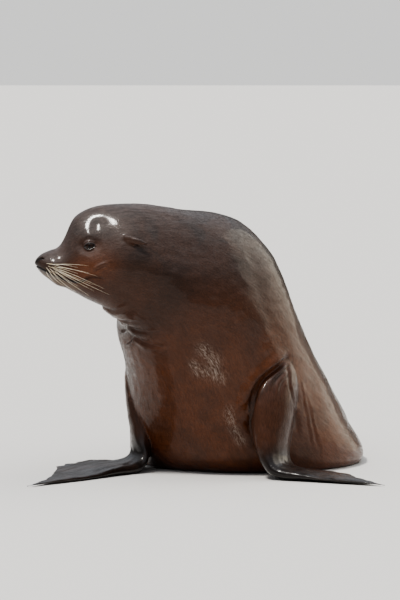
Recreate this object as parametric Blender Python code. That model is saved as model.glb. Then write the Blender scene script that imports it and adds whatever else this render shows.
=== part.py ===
"""A life-size male California sea lion, sitting up on its fore flippers with its head turned to its right.

Metres, +Z up. The origin is on the floor, under the middle of the animal. The rump lies straight behind
the chest, towards +Y, and the nose points to -X. The body is one tube of cross-sections along the spine,
parted into head, neck, chest, belly, rump and tail by thin gaps. The limbs, ears and claws are lofts that
stop just short of it.
"""

import math
from typing import NamedTuple

import bmesh
import bpy
import numpy as np
from mathutils import Vector

GAP = 0.0003  # between neighbouring solids
FLOOR = 0.0
SHARP_ANGLE = math.radians(40)
MIDDLE = Vector((0.0142, 0.4741, 0.0))  # of the animal's box on the floor, which the origin is moved to

# The head has its own frame: back from the nose tip, to the animal's left, and up.
NOSE = Vector((-0.412, -0.020, 0.540))
HEAD_TURN = 8.0  # degrees that the nose points out of the straight sideways view
NOSE_ROUNDING = 0.024
TAIL_ROUNDING = 0.020
END_SHARE = 0.02  # of a rounding's depth is where its flat end starts

EYE = (0.133, 0.0560, 0.043)
EYE_RADIUS = 0.0175
EYE_AROUND = 16

# The lower jaw's outline, back and up: along the mouth to its corner, then down behind the cheek.
MOUTH_LINE = (
    (-0.030, -0.009),
    (0.016, -0.015),
    (0.040, -0.030),
    (0.070, -0.042),
    (0.100, -0.047),
    (0.121, -0.039),
)
JAW_HINGE = ((0.151, -0.046), (0.166, -0.080), (0.176, -0.140), (0.176, -0.250), (-0.030, -0.250))
JAW_REACH = 0.2  # of the cutting wedge to each side, past the cheeks
JAW_NARROWING = 0.30  # how much narrower than the upper lip the lower jaw's tip is
JAW_NARROWEST, JAW_FULL = 0.030, 0.130  # behind the nose
JAW_LIP = 0.018  # height over which it narrows

AROUND = 32  # sides of the body's cross-sections
ARM_AROUND = 24
FLIPPER_AROUND = 36
WIDTH_EVENNESS = 0.15  # moves a flipper's points from its edges to its face
REAR_THINNING = 0.78  # of a fully tapered limb at its rear edge
HEAD_STEP, NECK_STEP, TRUNK_STEP = 0.0138, 0.036, 0.045
ARM_STEP, PALM_STEP, BLADE_STEP = 0.034, 0.026, 0.058


class Section(NamedTuple):
    """A cross-section of the body: its middle, half width, and reach above and below the middle.

    turn is the heading of the spine towards the tail, and pitch is how steeply it falls, both in degrees.
    pear narrows the top and widens the bottom, and base below 1 squares off the lower half.
    """

    x: float
    y: float
    z: float
    turn: float
    pitch: float
    width: float
    top: float
    bottom: float
    pear: float
    base: float


class LimbSection(NamedTuple):
    """A cross-section of a limb: its middle, the heading of its front edge, and its reach each way.

    taper thins it towards the rear edge, as a flipper's blade is.
    """

    x: float
    y: float
    z: float
    front: float
    lift: float
    ahead: float
    behind: float
    thickness: float
    taper: float


def heading(turn, pitch=0.0):
    """The unit vector at turn degrees from +X towards +Y, falling by pitch degrees."""
    turn, pitch = np.radians(turn), np.radians(pitch)
    return np.stack([np.cos(turn) * np.cos(pitch), np.sin(turn) * np.cos(pitch), -np.sin(pitch)], axis=-1)


def head_point(back, left, up):
    return np.array(NOSE) + back * heading(HEAD_TURN) + left * heading(HEAD_TURN - 90) + (0, 0, up)


def head_section(back, up, *shape):
    return Section(*head_point(back, 0, up), HEAD_TURN, 0, *shape)


BODY = {
    "nose": head_section(0.000, -0.001, 0.027, 0.020, 0.020, 0.00, 1.0),
    "nostrils": head_section(0.020, -0.003, 0.034, 0.027, 0.030, 0.02, 0.9),
    "whiskers": head_section(0.040, -0.006, 0.043, 0.038, 0.042, 0.05, 0.9),
    "muzzle": head_section(0.058, -0.007, 0.049, 0.046, 0.053, 0.08, 0.9),
    "stop": head_section(0.076, -0.003, 0.056, 0.068, 0.062, 0.16, 0.9),
    "forehead": head_section(0.092, 0.002, 0.063, 0.099, 0.075, 0.24, 1.0),
    "brow": head_section(0.110, 0.008, 0.071, 0.114, 0.091, 0.28, 1.0),
    "eyes": head_section(0.132, 0.012, 0.080, 0.122, 0.107, 0.28, 1.0),
    "crown": head_section(0.162, 0.014, 0.091, 0.129, 0.124, 0.24, 1.0),
    "poll": Section(-0.219, 0.005, 0.553, 11, 3, 0.106, 0.134, 0.146, 0.18, 1.0),
    "nape": Section(-0.160, 0.018, 0.543, 20, 13, 0.126, 0.145, 0.162, 0.12, 1.0),
    "neck": Section(-0.100, 0.043, 0.516, 31, 27, 0.158, 0.171, 0.180, 0.08, 1.0),
    "withers": Section(-0.048, 0.080, 0.474, 41, 41, 0.192, 0.229, 0.206, 0.05, 1.0),
    "shoulder": Section(-0.003, 0.122, 0.410, 50, 51, 0.213, 0.248, 0.222, 0.03, 1.0),
    "breast": Section(0.030, 0.168, 0.325, 57, 53, 0.230, 0.238, 0.235, 0.04, 1.0),
    "ribs": Section(0.062, 0.225, 0.235, 64, 42, 0.244, 0.240, 0.268, 0.10, 0.9),
    "waist": Section(0.104, 0.305, 0.146, 73, 25, 0.262, 0.255, 0.200, 0.28, 0.65),
    "belly": Section(0.140, 0.440, 0.098, 80, 13, 0.252, 0.245, 0.140, 0.40, 0.60),
    "loin": Section(0.168, 0.640, 0.085, 86, 8, 0.196, 0.206, 0.110, 0.30, 0.70),
    "rump": Section(0.177, 0.860, 0.080, 89, 7, 0.123, 0.148, 0.090, 0.15, 0.85),
    "tail_root": Section(0.178, 1.030, 0.066, 90, 10, 0.068, 0.076, 0.060, 0.00, 1.0),
    "tail": Section(0.178, 1.110, 0.050, 90, 12, 0.032, 0.028, 0.028, 0.00, 1.0),
    "tail_tip": Section(0.178, 1.185, 0.035, 90, 12, 0.021, 0.013, 0.013, 0.00, 1.0),
}

LEFT_FORE_LIMB = {
    "shoulder": LimbSection(0.100, 0.200, 0.400, -130, 0, 0.110, 0.105, 0.075, 0.0),
    "elbow": LimbSection(0.160, 0.080, 0.285, -130, 0, 0.088, 0.096, 0.072, 0.0),
    "forearm": LimbSection(0.180, 0.026, 0.185, -125, 0, 0.076, 0.084, 0.058, 0.1),
    "wrist": LimbSection(0.181, -0.006, 0.082, -118, 0, 0.064, 0.080, 0.044, 0.3),
    "palm": LimbSection(0.199, -0.026, 0.0275, -114, 0, 0.060, 0.086, 0.028, 0.5),
    "knuckles": LimbSection(0.255, -0.050, 0.0150, -114, 0, 0.060, 0.092, 0.0190, 0.8),
    "blade": LimbSection(0.320, -0.085, 0.0100, -118, 0, 0.058, 0.094, 0.0140, 0.9),
    "digits": LimbSection(0.395, -0.135, 0.0075, -122, 0, 0.046, 0.072, 0.0105, 1.0),
    "tip": LimbSection(0.472, -0.195, 0.0025, -128, 0, 0.022, 0.040, 0.0040, 1.0),
}

RIGHT_FORE_LIMB = {
    "shoulder": LimbSection(-0.050, 0.300, 0.350, -130, 0, 0.080, 0.070, 0.055, 0.0),
    "elbow": LimbSection(-0.116, 0.262, 0.275, -128, 0, 0.082, 0.088, 0.060, 0.0),
    "forearm": LimbSection(-0.136, 0.210, 0.180, -120, 0, 0.074, 0.080, 0.054, 0.1),
    "wrist": LimbSection(-0.142, 0.166, 0.082, -104, 0, 0.062, 0.076, 0.042, 0.3),
    "palm": LimbSection(-0.166, 0.136, 0.0275, -84, 3, 0.060, 0.086, 0.027, 0.5),
    "knuckles": LimbSection(-0.222, 0.080, 0.0160, -72, 5, 0.060, 0.092, 0.0190, 0.8),
    "blade": LimbSection(-0.290, -0.005, 0.0120, -62, 6, 0.058, 0.094, 0.0140, 0.9),
    "digits": LimbSection(-0.368, -0.110, 0.0085, -56, 4, 0.046, 0.072, 0.0105, 1.0),
    "tip": LimbSection(-0.448, -0.225, 0.0025, -50, 0, 0.022, 0.040, 0.0040, 1.0),
}


def hind_limb(side):
    """The sections of a hind limb, which is folded forwards beside the rump. side is 1 on the left."""

    def section(aside, y, z, inward, *shape):
        front = inward if side > 0 else 180 - inward
        return LimbSection(BODY["rump"].x + side * aside, y, z, front, 0, *shape, 0)

    return {
        "knee": section(0.010, 0.920, 0.085, -70, 0.065, 0.065, 0.055),
        "ankle": section(0.092, 0.965, 0.062, -95, 0.052, 0.056, 0.046),
        "heel": section(0.135, 0.950, 0.040, -140, 0.045, 0.050, 0.036),
        "sole": section(0.162, 0.885, 0.021, -166, 0.045, 0.045, 0.021),
        "web": section(0.181, 0.800, 0.012, -168, 0.052, 0.052, 0.013),
        "toes": section(0.192, 0.700, 0.005, -166, 0.057, 0.057, 0.005),
    }


BODY_PARTS = {
    "head": ("nose", "poll", HEAD_STEP),
    "neck": ("poll", "withers", NECK_STEP),
    "chest": ("withers", "ribs", TRUNK_STEP),
    "belly": ("ribs", "loin", TRUNK_STEP),
    "rump": ("loin", "tail_root", TRUNK_STEP),
    "tail": ("tail_root", "tail_tip", NECK_STEP),
}

# Swellings and hollows on both sides of the head: back, aside and up, then how wide and how high.
SWELLINGS = (
    (0.044, 0.040, -0.014, 0.022, 0.0085),  # whisker pad
    (0.116, 0.060, 0.078, 0.024, 0.0040),  # brow
    (0.128, 0.066, 0.066, 0.014, 0.0030),  # ridge over the eye
    (0.156, 0.048, 0.098, 0.018, -0.0035),  # temple
    (0.133, 0.074, 0.043, 0.022, -0.0025),  # round the eye
    (0.152, 0.086, -0.004, 0.034, 0.0045),  # cheek
)

# An ear from its root inside the neck to its tip: back, aside and up in the head's frame, and its radius.
EAR = (
    (0.206, 0.080, 0.064, 0.0115),
    (0.228, 0.104, 0.060, 0.0105),
    (0.248, 0.117, 0.056, 0.0080),
    (0.268, 0.122, 0.050, 0.0035),
)
EAR_FLATNESS = 0.55
EAR_AROUND = 12

# The middle three toes have nails: their places across the flipper.
CLAWED_TOES = (-0.4, 0.0, 0.4)
CLAW_LENGTH, CLAW_RADIUS, CLAW_LIFT = 0.024, 0.0042, 0.0025
CLAW_TAPER = 0.75
CLAW_AROUND, CLAW_RINGS = 6, 4

# How far back from its longest toe a flipper's edge runs, as shares of its length.
FORE_SWEEP, FORE_SWEEP_POWER, FORE_SCALLOP, FORE_SCALLOPS = 0.52, 1.15, 0.006, 4
HIND_SWEEP, HIND_SCALLOP, HIND_SCALLOPS = 0.06, 0.03, 5

# Colour and roughness.
FINISHES = {
    "coat": ((0.055, 0.036, 0.027), 0.35),
    "flipper_skin": ((0.030, 0.024, 0.022), 0.40),
    "eye": ((0.012, 0.008, 0.006), 0.08),
    "claw": ((0.050, 0.040, 0.035), 0.45),
}


def clear_scene():
    for obj in list(bpy.data.objects):
        bpy.data.objects.remove(obj)


def material(name, colour, roughness):
    made = bpy.data.materials.new(name)
    made.use_nodes = True
    shader = made.node_tree.nodes["Principled BSDF"]
    shader.inputs["Base Color"].default_value = (*colour, 1)
    shader.inputs["Roughness"].default_value = roughness
    shader.inputs["Metallic"].default_value = 0
    return made


def unit(vectors):
    return vectors / np.linalg.norm(vectors, axis=-1, keepdims=True)


def spline(knots, values, at):
    """A natural cubic spline through values at knots, read at the places in at."""
    steps, count = np.diff(knots), len(knots)
    matrix, wanted = np.eye(count), np.zeros_like(values)
    for i in range(1, count - 1):
        matrix[i, i - 1 : i + 2] = steps[i - 1], 2 * (steps[i - 1] + steps[i]), steps[i]
        slopes = np.diff(values[i - 1 : i + 2], axis=0) / steps[i - 1 : i + 1, None]
        wanted[i] = 6 * (slopes[1] - slopes[0])
    bends = np.linalg.solve(matrix, wanted)
    i = np.clip(np.searchsorted(knots, at) - 1, 0, count - 2)
    step = steps[i][:, None]
    a = (knots[i + 1] - at)[:, None] / step
    b = 1 - a
    curved = ((a**3 - a) * bends[i] + (b**3 - b) * bends[i + 1]) * step**2 / 6
    return a * values[i] + b * values[i + 1] + curved


class Path:
    """Sections along a smooth line: a place on it is a length from its start, and each station has one."""

    def __init__(self, stations):
        self.values = np.array(list(stations.values()))
        steps = np.linalg.norm(np.diff(self.values[:, :3], axis=0), axis=1)
        self.knots = np.concatenate([[0], np.cumsum(steps)])
        self.place = dict(zip(stations, self.knots))
        self.length = self.knots[-1]

    def at(self, places):
        return spline(self.knots, self.values, np.asarray(places, float))

    def along(self, places, reach=0.004):
        """Unit tangents, towards the path's end."""
        ahead, behind = np.clip(places + reach, 0, self.length), np.clip(places - reach, 0, self.length)
        return unit(self.at(ahead)[:, :3] - self.at(behind)[:, :3])

    def places(self, start, end, step):
        """Evenly spread places from one station to another, stopping half a gap short of inner ones."""
        low, high = self.place[start], self.place[end]
        low += GAP / 2 if low > 0 else 0
        high -= GAP / 2 if high < self.length else 0
        return np.linspace(low, high, max(3, round((high - low) / step) + 1))


def rounded_end(distance, radius):
    """The share of its full size that a section this far from a round end has."""
    share = np.clip(distance / radius, END_SHARE, 1)
    return np.sqrt(share * (2 - share))


def signed_power(values, power):
    return np.sign(values) * np.abs(values) ** power


def swollen(points, outward):
    """The points of a ring moved along outward by the head's swellings and hollows near them."""
    rise = np.zeros(len(points))
    for back, aside, up, width, height in SWELLINGS:
        for side in (1, -1):
            distance = np.linalg.norm(points - head_point(back, side * aside, up), axis=1)
            rise += height * np.exp(-((distance / width) ** 2))
    return points + rise[:, None] * outward


def eased(low, high, value):
    """0 below low, 1 above high, with a smooth rise between them."""
    share = np.clip((value - low) / (high - low), 0, 1)
    return share * share * (3 - 2 * share)


def jaw_drawn_in(points):
    """The points with those below the mouth drawn in towards the head's middle plane."""
    away = points - np.array(NOSE)
    back, left = away @ heading(HEAD_TURN), away @ heading(HEAD_TURN - 90)
    below = np.interp(back, *np.transpose(MOUTH_LINE)) - away[:, 2]
    share = JAW_NARROWING * (1 - eased(JAW_NARROWEST, JAW_FULL, back)) * eased(0, JAW_LIP, below)
    return points - (share * left)[:, None] * heading(HEAD_TURN - 90)


def body_rings(path, places, grow=0.0):
    """Rings of points round the spine at the places, grown outwards by grow."""
    ends = rounded_end(places, NOSE_ROUNDING) * rounded_end(path.length - places, TAIL_ROUNDING)
    angle = np.linspace(0, 2 * math.pi, AROUND, endpoint=False)
    rings = []
    for row, end in zip(path.at(places), ends):
        section = Section(*row)
        back = heading(section.turn, section.pitch)
        left = heading(section.turn - 90)
        up = np.cross(left, back)
        power = np.where(np.sin(angle) > 0, 1, section.base)
        across, rise = signed_power(np.cos(angle), power), signed_power(np.sin(angle), power)
        height = np.where(rise > 0, section.top, section.bottom) * end + grow
        sideways = across * (1 - section.pear * rise) * (section.width * end + grow)
        spread = sideways[:, None] * left + (rise * height)[:, None] * up
        rings.append(jaw_drawn_in(swollen(row[:3] + spread, unit(spread))))
    return np.array(rings)


def limb_points(path, places, across, high):
    """Points on a limb's skin, at the same share of its width and thickness at each of the places."""
    values, down = path.at(places), path.along(places)
    section = LimbSection(*values.T)
    front = heading(section.front, section.lift)
    front = unit(front - down * np.sum(front * down, axis=1)[:, None])
    chord = across * (section.ahead if across > 0 else section.behind)
    thin = section.thickness * (1 - REAR_THINNING * section.taper * (1 - across) / 2)
    return values[:, :3] + chord[:, None] * front + (thin * high)[:, None] * np.cross(front, down)


def arm_rings(path, start, end, step):
    """Rings of points round a limb from one station to another."""
    places = path.places(start, end, step)
    angles = np.linspace(0, 2 * math.pi, ARM_AROUND, endpoint=False)
    return np.stack([limb_points(path, places, math.cos(a), math.sin(a)) for a in angles], axis=1)


def flipper_rings(path, start, bend, end, reach):
    """Rings round a flipper, closer together as far as the bend.

    reach gives the share of the flipper's length that it has at each part of its width.
    """
    places = np.union1d(path.places(start, bend, PALM_STEP), path.places(bend, end, BLADE_STEP)[1:])
    angles = np.linspace(0, 2 * math.pi, FLIPPER_AROUND, endpoint=False)
    angles += WIDTH_EVENNESS * np.sin(2 * angles)
    points = []
    for angle in angles:
        own = places[0] + (places - places[0]) * reach(math.cos(angle))
        points.append(limb_points(path, own, math.cos(angle), math.sin(angle)))
    return np.stack(points, axis=1)


def loft(name, rings, finish, collection):
    """A closed solid through rings of equal count, with strips across its ends, cut off at the floor."""
    mesh = bmesh.new()
    made = [[mesh.verts.new(point) for point in ring] for ring in rings]
    count = len(made[0])
    for ring, following in zip(made, made[1:]):
        for i in range(count):
            j = (i + 1) % count
            mesh.faces.new((ring[i], ring[j], following[j]))
            mesh.faces.new((ring[i], following[j], following[i]))
    for ring in (made[0], made[-1]):
        for i in range(count // 2):
            corners = [ring[i], ring[i + 1], ring[(count - i - 1) % count], ring[(count - i) % count]]
            mesh.faces.new(list(dict.fromkeys(corners)))
    bmesh.ops.recalc_face_normals(mesh, faces=mesh.faces)
    if min(vert.co.z for vert in mesh.verts) < FLOOR:
        cut_at_floor(mesh)
    return as_object(name, mesh, finish, collection)


def cut_at_floor(mesh):
    geometry = mesh.verts[:] + mesh.edges[:] + mesh.faces[:]
    floor = {"plane_co": (0, 0, FLOOR), "plane_no": (0, 0, -1)}
    bmesh.ops.bisect_plane(mesh, geom=geometry, clear_outer=True, **floor)
    rim = [edge for edge in mesh.edges if edge.is_boundary]
    filled = bmesh.ops.holes_fill(mesh, edges=rim, sides=0)
    bmesh.ops.triangulate(mesh, faces=filled["faces"])
    bmesh.ops.recalc_face_normals(mesh, faces=mesh.faces)


def as_object(name, mesh, finish, collection):
    data = bpy.data.meshes.new(name)
    mesh.to_mesh(data)
    mesh.free()
    data.materials.append(finish)
    data.shade_smooth()
    data.set_sharp_from_angle(angle=SHARP_ANGLE)
    obj = bpy.data.objects.new(name, data)
    obj.parent = bpy.data.objects["stand"]
    collection.objects.link(obj)
    return obj


def boolean(obj, operation, other):
    modifier = obj.modifiers.new(other.name, "BOOLEAN")
    modifier.operation = operation
    modifier.solver = "EXACT"
    modifier.object = other


def cutter(obj):
    obj.hide_render = True
    obj.display_type = "WIRE"
    return obj


def ball(name, centre, radius, finish, collection):
    mesh = bmesh.new()
    bmesh.ops.create_uvsphere(mesh, u_segments=EYE_AROUND, v_segments=EYE_AROUND // 2, radius=radius)
    obj = as_object(name, mesh, finish, collection)
    obj.location = centre
    return obj


def jaw_wedge(name, shift, finish, collection):
    """The space below the mouth line, moved up and back by shift, as a solid as wide as the head."""
    outline = [(back + shift, up + shift) for back, up in MOUTH_LINE + JAW_HINGE]
    rings = [[head_point(back, side, up) for back, up in outline] for side in (-JAW_REACH, JAW_REACH)]
    mesh = bmesh.new()
    right, left = ([mesh.verts.new(point) for point in ring] for ring in rings)
    mesh.faces.new(right)
    mesh.faces.new(left[::-1])
    for i in range(len(outline)):
        mesh.faces.new((right[i - 1], right[i], left[i], left[i - 1]))
    bmesh.ops.recalc_face_normals(mesh, faces=mesh.faces)
    return cutter(as_object(name, mesh, finish, collection))


def ear_rings(side):
    """Flattened rings along an ear. side is 1 on the left."""
    middles = np.array([head_point(back, side * aside, up) for back, aside, up, _ in EAR])
    along = unit(np.gradient(middles, axis=0))
    angle = np.linspace(0, 2 * math.pi, EAR_AROUND, endpoint=False)[:, None]
    rings = []
    for middle, direction, (*_, radius) in zip(middles, along, EAR):
        across = unit(np.cross(direction, (0, 0, 1)))
        over = np.cross(across, direction)
        rings.append(middle + radius * (EAR_FLATNESS * np.cos(angle) * across + np.sin(angle) * over))
    return rings


def fore_reach(across):
    """A fore flipper is longest at its front edge, and its rear edge is cut into digits."""
    behind = (1 - across) / 2
    scallop = FORE_SCALLOP * (1 - math.cos(2 * math.pi * FORE_SCALLOPS * behind))
    return 1 - FORE_SWEEP * behind**FORE_SWEEP_POWER - scallop


def hind_reach(across):
    """A hind flipper ends in five lobes, the outer ones the longest."""
    scallop = HIND_SCALLOP * (1 + math.cos(HIND_SCALLOPS * math.pi * (across + 1)))
    return 1 - HIND_SWEEP * (1 - across**2) - scallop


def claw_rings(path, side, across, grow=0.0):
    """Rings along a nail that lies on a hind flipper, half sunk in it, and points at the toes."""
    start = path.place["web"] - CLAW_LENGTH
    places = start + np.linspace(-grow, CLAW_LENGTH + grow, CLAW_RINGS)
    middles = limb_points(path, places, across, side * math.sqrt(1 - across**2))
    angles = np.linspace(0, 2 * math.pi, CLAW_AROUND, endpoint=False)
    circle = np.stack([np.cos(angles), np.zeros(CLAW_AROUND), np.sin(angles)], axis=1)
    rings = []
    for share, middle in zip(np.linspace(0, 1, CLAW_RINGS), middles):
        radius = CLAW_RADIUS * (1 - CLAW_TAPER * share**2) + grow
        rings.append(middle + (0, 0, CLAW_LIFT * share**2) + radius * circle)
    return np.array(rings)


def make_body(finishes, parts, cutters):
    """The head, jaw, neck, chest, belly, rump and tail, and a cutter a gap larger than all of them."""
    coat = finishes["coat"]
    spine = Path(BODY)
    places = {name: spine.places(start, end, step) for name, (start, end, step) in BODY_PARTS.items()}
    body = {name: loft(name, body_rings(spine, at), coat, parts) for name, at in places.items()}
    grown = body_rings(spine, np.concatenate(list(places.values())), grow=GAP)

    head = body["head"]
    jaw = head.copy()
    jaw.name = "lower_jaw"
    parts.objects.link(jaw)
    boolean(jaw, "INTERSECT", jaw_wedge("jaw_wedge", 0, coat, cutters))
    boolean(head, "DIFFERENCE", jaw_wedge("jaw_clearance", 1.5 * GAP, coat, cutters))
    return head, cutter(loft("body_clearance", grown, coat, cutters))


def make_eye_and_ear(side, sign, head, clearance, finishes, parts, cutters):
    back, aside, up = EYE
    centre = head_point(back, sign * aside, up)
    ball(f"{side}_eye", centre, EYE_RADIUS, finishes["eye"], parts)
    socket = ball(f"{side}_socket", centre, EYE_RADIUS + GAP, finishes["coat"], cutters)
    boolean(head, "DIFFERENCE", cutter(socket))
    ear = loft(f"{side}_ear", ear_rings(sign), finishes["coat"], parts)
    boolean(ear, "DIFFERENCE", clearance)


def make_fore_limb(side, stations, clearance, finishes, parts):
    path = Path(stations)
    arm = arm_rings(path, "shoulder", "wrist", ARM_STEP)
    flipper = flipper_rings(path, "wrist", "knuckles", "tip", fore_reach)
    boolean(loft(f"{side}_arm", arm, finishes["coat"], parts), "DIFFERENCE", clearance)
    flipper = loft(f"{side}_foreflipper", flipper, finishes["flipper_skin"], parts)
    boolean(flipper, "DIFFERENCE", clearance)


def make_hind_limb(side, sign, clearance, finishes, parts, cutters):
    """The leg and flipper of one side, with the nails let into the flipper."""
    path = Path(hind_limb(sign))
    leg = arm_rings(path, "knee", "heel", PALM_STEP)
    boolean(loft(f"{side}_hind_leg", leg, finishes["coat"], parts), "DIFFERENCE", clearance)
    blade = flipper_rings(path, "heel", "sole", "toes", hind_reach)
    flipper = loft(f"{side}_hind_flipper", blade, finishes["flipper_skin"], parts)
    boolean(flipper, "DIFFERENCE", clearance)
    for number, across in enumerate(CLAWED_TOES, 1):
        loft(f"{side}_claw_{number}", claw_rings(path, sign, across), finishes["claw"], parts)
        bed = claw_rings(path, sign, across, GAP)
        bed = loft(f"{side}_claw_bed_{number}", bed, finishes["flipper_skin"], cutters)
        boolean(flipper, "DIFFERENCE", cutter(bed))


def main():
    clear_scene()
    parts = bpy.data.collections.new("sea_lion")
    cutters = bpy.data.collections.new("cutters")
    bpy.context.scene.collection.children.link(parts)
    bpy.context.scene.collection.children.link(cutters)
    stand = bpy.data.objects.new("stand", None)
    stand.location = -MIDDLE
    parts.objects.link(stand)

    finishes = {name: material(name, *look) for name, look in FINISHES.items()}
    head, clearance = make_body(finishes, parts, cutters)
    for side, sign in (("left", 1), ("right", -1)):
        make_eye_and_ear(side, sign, head, clearance, finishes, parts, cutters)
        make_hind_limb(side, sign, clearance, finishes, parts, cutters)
    make_fore_limb("left", LEFT_FORE_LIMB, clearance, finishes, parts)
    make_fore_limb("right", RIGHT_FORE_LIMB, clearance, finishes, parts)


main()
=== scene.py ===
# A California sea lion bull, wet from the pool, sitting up on its fore flippers.
import math
from contextlib import contextmanager

import bmesh
import bpy
import numpy as np
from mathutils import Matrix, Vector
from mathutils.bvhtree import BVHTree
from mathutils.kdtree import KDTree


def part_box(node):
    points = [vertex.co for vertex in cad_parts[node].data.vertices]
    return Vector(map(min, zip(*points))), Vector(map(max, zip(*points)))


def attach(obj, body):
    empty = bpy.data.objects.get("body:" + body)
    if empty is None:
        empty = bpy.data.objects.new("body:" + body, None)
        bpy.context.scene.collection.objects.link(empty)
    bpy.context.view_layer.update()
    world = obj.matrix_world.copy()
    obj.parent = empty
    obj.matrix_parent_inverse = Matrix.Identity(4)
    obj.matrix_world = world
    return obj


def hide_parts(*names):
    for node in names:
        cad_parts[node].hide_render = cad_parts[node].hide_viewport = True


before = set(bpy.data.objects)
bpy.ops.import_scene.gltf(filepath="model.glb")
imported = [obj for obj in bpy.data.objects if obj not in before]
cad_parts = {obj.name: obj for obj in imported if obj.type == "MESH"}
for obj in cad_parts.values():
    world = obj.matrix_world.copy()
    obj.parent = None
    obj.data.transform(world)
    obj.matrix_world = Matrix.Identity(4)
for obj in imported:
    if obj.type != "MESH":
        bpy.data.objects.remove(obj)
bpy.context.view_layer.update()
print("frame loaded")

# how far the middle of the floor plan lies from the point that the stations below are measured from
floorMiddle = np.array((0.0142, 0.4741, 0.0))
noseTip = np.array((-0.412, -0.020, 0.540)) - floorMiddle
headTurn = 8.0  # degrees


def heading(turn, pitch=0.0):
    turn, pitch = np.broadcast_arrays(np.radians(turn), np.radians(pitch))
    return np.stack([np.cos(turn) * np.cos(pitch), np.sin(turn) * np.cos(pitch), -np.sin(pitch)], axis=-1)


headBack, headLeft, headUp = heading(headTurn), heading(headTurn - 90), np.array((0.0, 0.0, 1.0))


def headPoint(back, left, up):
    return noseTip + back * headBack + left * headLeft + up * headUp


sides = {"left": 1, "right": -1}


def pairPoint(place, sign):  # a place on the head's left, or on its right where the sign is -1
    return headPoint(place[0], sign * place[1], place[2])


def unit(vectors):
    return vectors / np.maximum(np.linalg.norm(vectors, axis=-1, keepdims=True), 1e-12)


def smooth(low, high, value):  # 0 below low, 1 above high
    share = np.clip((value - low) / (high - low), 0, 1)
    return share * share * (3 - 2 * share)


def bell(values):  # 1 at 0, fading on both sides
    return np.exp(-(values**2))


def fullTurn(count):
    return np.linspace(0, 2 * math.pi, count, endpoint=False)


def runsOf(line):  # the length from the line's start to each of its points
    return np.concatenate([[0], np.cumsum(np.linalg.norm(np.diff(line, axis=0), axis=1))])


def spline(knots, values, at):  # natural cubic
    steps, count = np.diff(knots), len(knots)
    matrix, wanted = np.eye(count), np.zeros_like(values)
    for i in range(1, count - 1):
        matrix[i, i - 1 : i + 2] = steps[i - 1], 2 * (steps[i - 1] + steps[i]), steps[i]
        slopes = np.diff(values[i - 1 : i + 2], axis=0) / steps[i - 1 : i + 1, None]
        wanted[i] = 6 * (slopes[1] - slopes[0])
    bends = np.linalg.solve(matrix, wanted)
    i = np.clip(np.searchsorted(knots, at) - 1, 0, count - 2)
    step = steps[i][:, None]
    a = (knots[i + 1] - at)[:, None] / step
    b = 1 - a
    bend = (a**3 - a) * bends[i] + (b**3 - b) * bends[i + 1]
    return a * values[i] + b * values[i + 1] + bend * step**2 / 6


class Spine:
    # A smooth line with a cross-section at each place on it; places are lengths from its start.
    def __init__(self, stations):
        self.values = np.array(list(stations.values()), float)
        self.values[:, :3] -= floorMiddle
        self.knots = runsOf(self.values[:, :3])
        self.place = dict(zip(stations, self.knots))
        self.length = self.knots[-1]

    def at(self, places):
        return spline(self.knots, self.values, np.asarray(places, float))

    def along(self, places, reach=0.004):
        ahead, behind = np.clip(places + reach, 0, self.length), np.clip(places - reach, 0, self.length)
        return unit(self.at(ahead)[:, :3] - self.at(behind)[:, :3])


def headStation(back, up, *shape):
    return (*(headPoint(back, 0, up) + floorMiddle), headTurn, 0, *shape)


# x, y, z, turn, pitch, half width, reach up, reach down, pear, squareness of the lower half
bodyStations = {
    "nose": headStation(0.000, -0.001, 0.027, 0.020, 0.020, 0.00, 1.0),
    "nostrils": headStation(0.020, -0.003, 0.034, 0.027, 0.030, 0.02, 0.9),
    "whiskers": headStation(0.040, -0.006, 0.043, 0.038, 0.042, 0.05, 0.9),
    "muzzle": headStation(0.058, -0.007, 0.049, 0.046, 0.053, 0.08, 0.9),
    "stop": headStation(0.076, -0.003, 0.056, 0.068, 0.062, 0.16, 0.9),
    "forehead": headStation(0.092, 0.002, 0.063, 0.099, 0.075, 0.24, 1.0),
    "brow": headStation(0.110, 0.008, 0.071, 0.114, 0.091, 0.28, 1.0),
    "eyes": headStation(0.132, 0.012, 0.080, 0.122, 0.107, 0.28, 1.0),
    "crown": headStation(0.162, 0.014, 0.091, 0.129, 0.124, 0.24, 1.0),
    "poll": (-0.219, 0.005, 0.553, 11, 3, 0.106, 0.134, 0.146, 0.18, 1.0),
    "nape": (-0.160, 0.018, 0.543, 20, 13, 0.126, 0.145, 0.162, 0.12, 1.0),
    "neck": (-0.100, 0.043, 0.516, 31, 27, 0.158, 0.171, 0.180, 0.08, 1.0),
    "withers": (-0.048, 0.080, 0.474, 41, 41, 0.192, 0.229, 0.206, 0.05, 1.0),
    "shoulder": (-0.003, 0.122, 0.410, 50, 51, 0.213, 0.248, 0.222, 0.03, 1.0),
    "breast": (0.030, 0.168, 0.325, 57, 53, 0.230, 0.238, 0.235, 0.04, 1.0),
    "ribs": (0.062, 0.225, 0.235, 64, 42, 0.244, 0.240, 0.268, 0.10, 0.9),
    "waist": (0.104, 0.305, 0.146, 73, 25, 0.262, 0.255, 0.200, 0.28, 0.65),
    "belly": (0.140, 0.440, 0.098, 80, 13, 0.252, 0.245, 0.140, 0.40, 0.60),
    "loin": (0.168, 0.640, 0.085, 86, 8, 0.196, 0.206, 0.110, 0.30, 0.70),
    "rump": (0.177, 0.860, 0.080, 89, 7, 0.123, 0.148, 0.090, 0.15, 0.85),
    "tailRoot": (0.178, 1.030, 0.066, 90, 10, 0.068, 0.076, 0.060, 0.00, 1.0),
    "tail": (0.178, 1.110, 0.050, 90, 12, 0.032, 0.028, 0.028, 0.00, 1.0),
    "tailTip": (0.178, 1.185, 0.035, 90, 12, 0.021, 0.013, 0.013, 0.00, 1.0),
}

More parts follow.
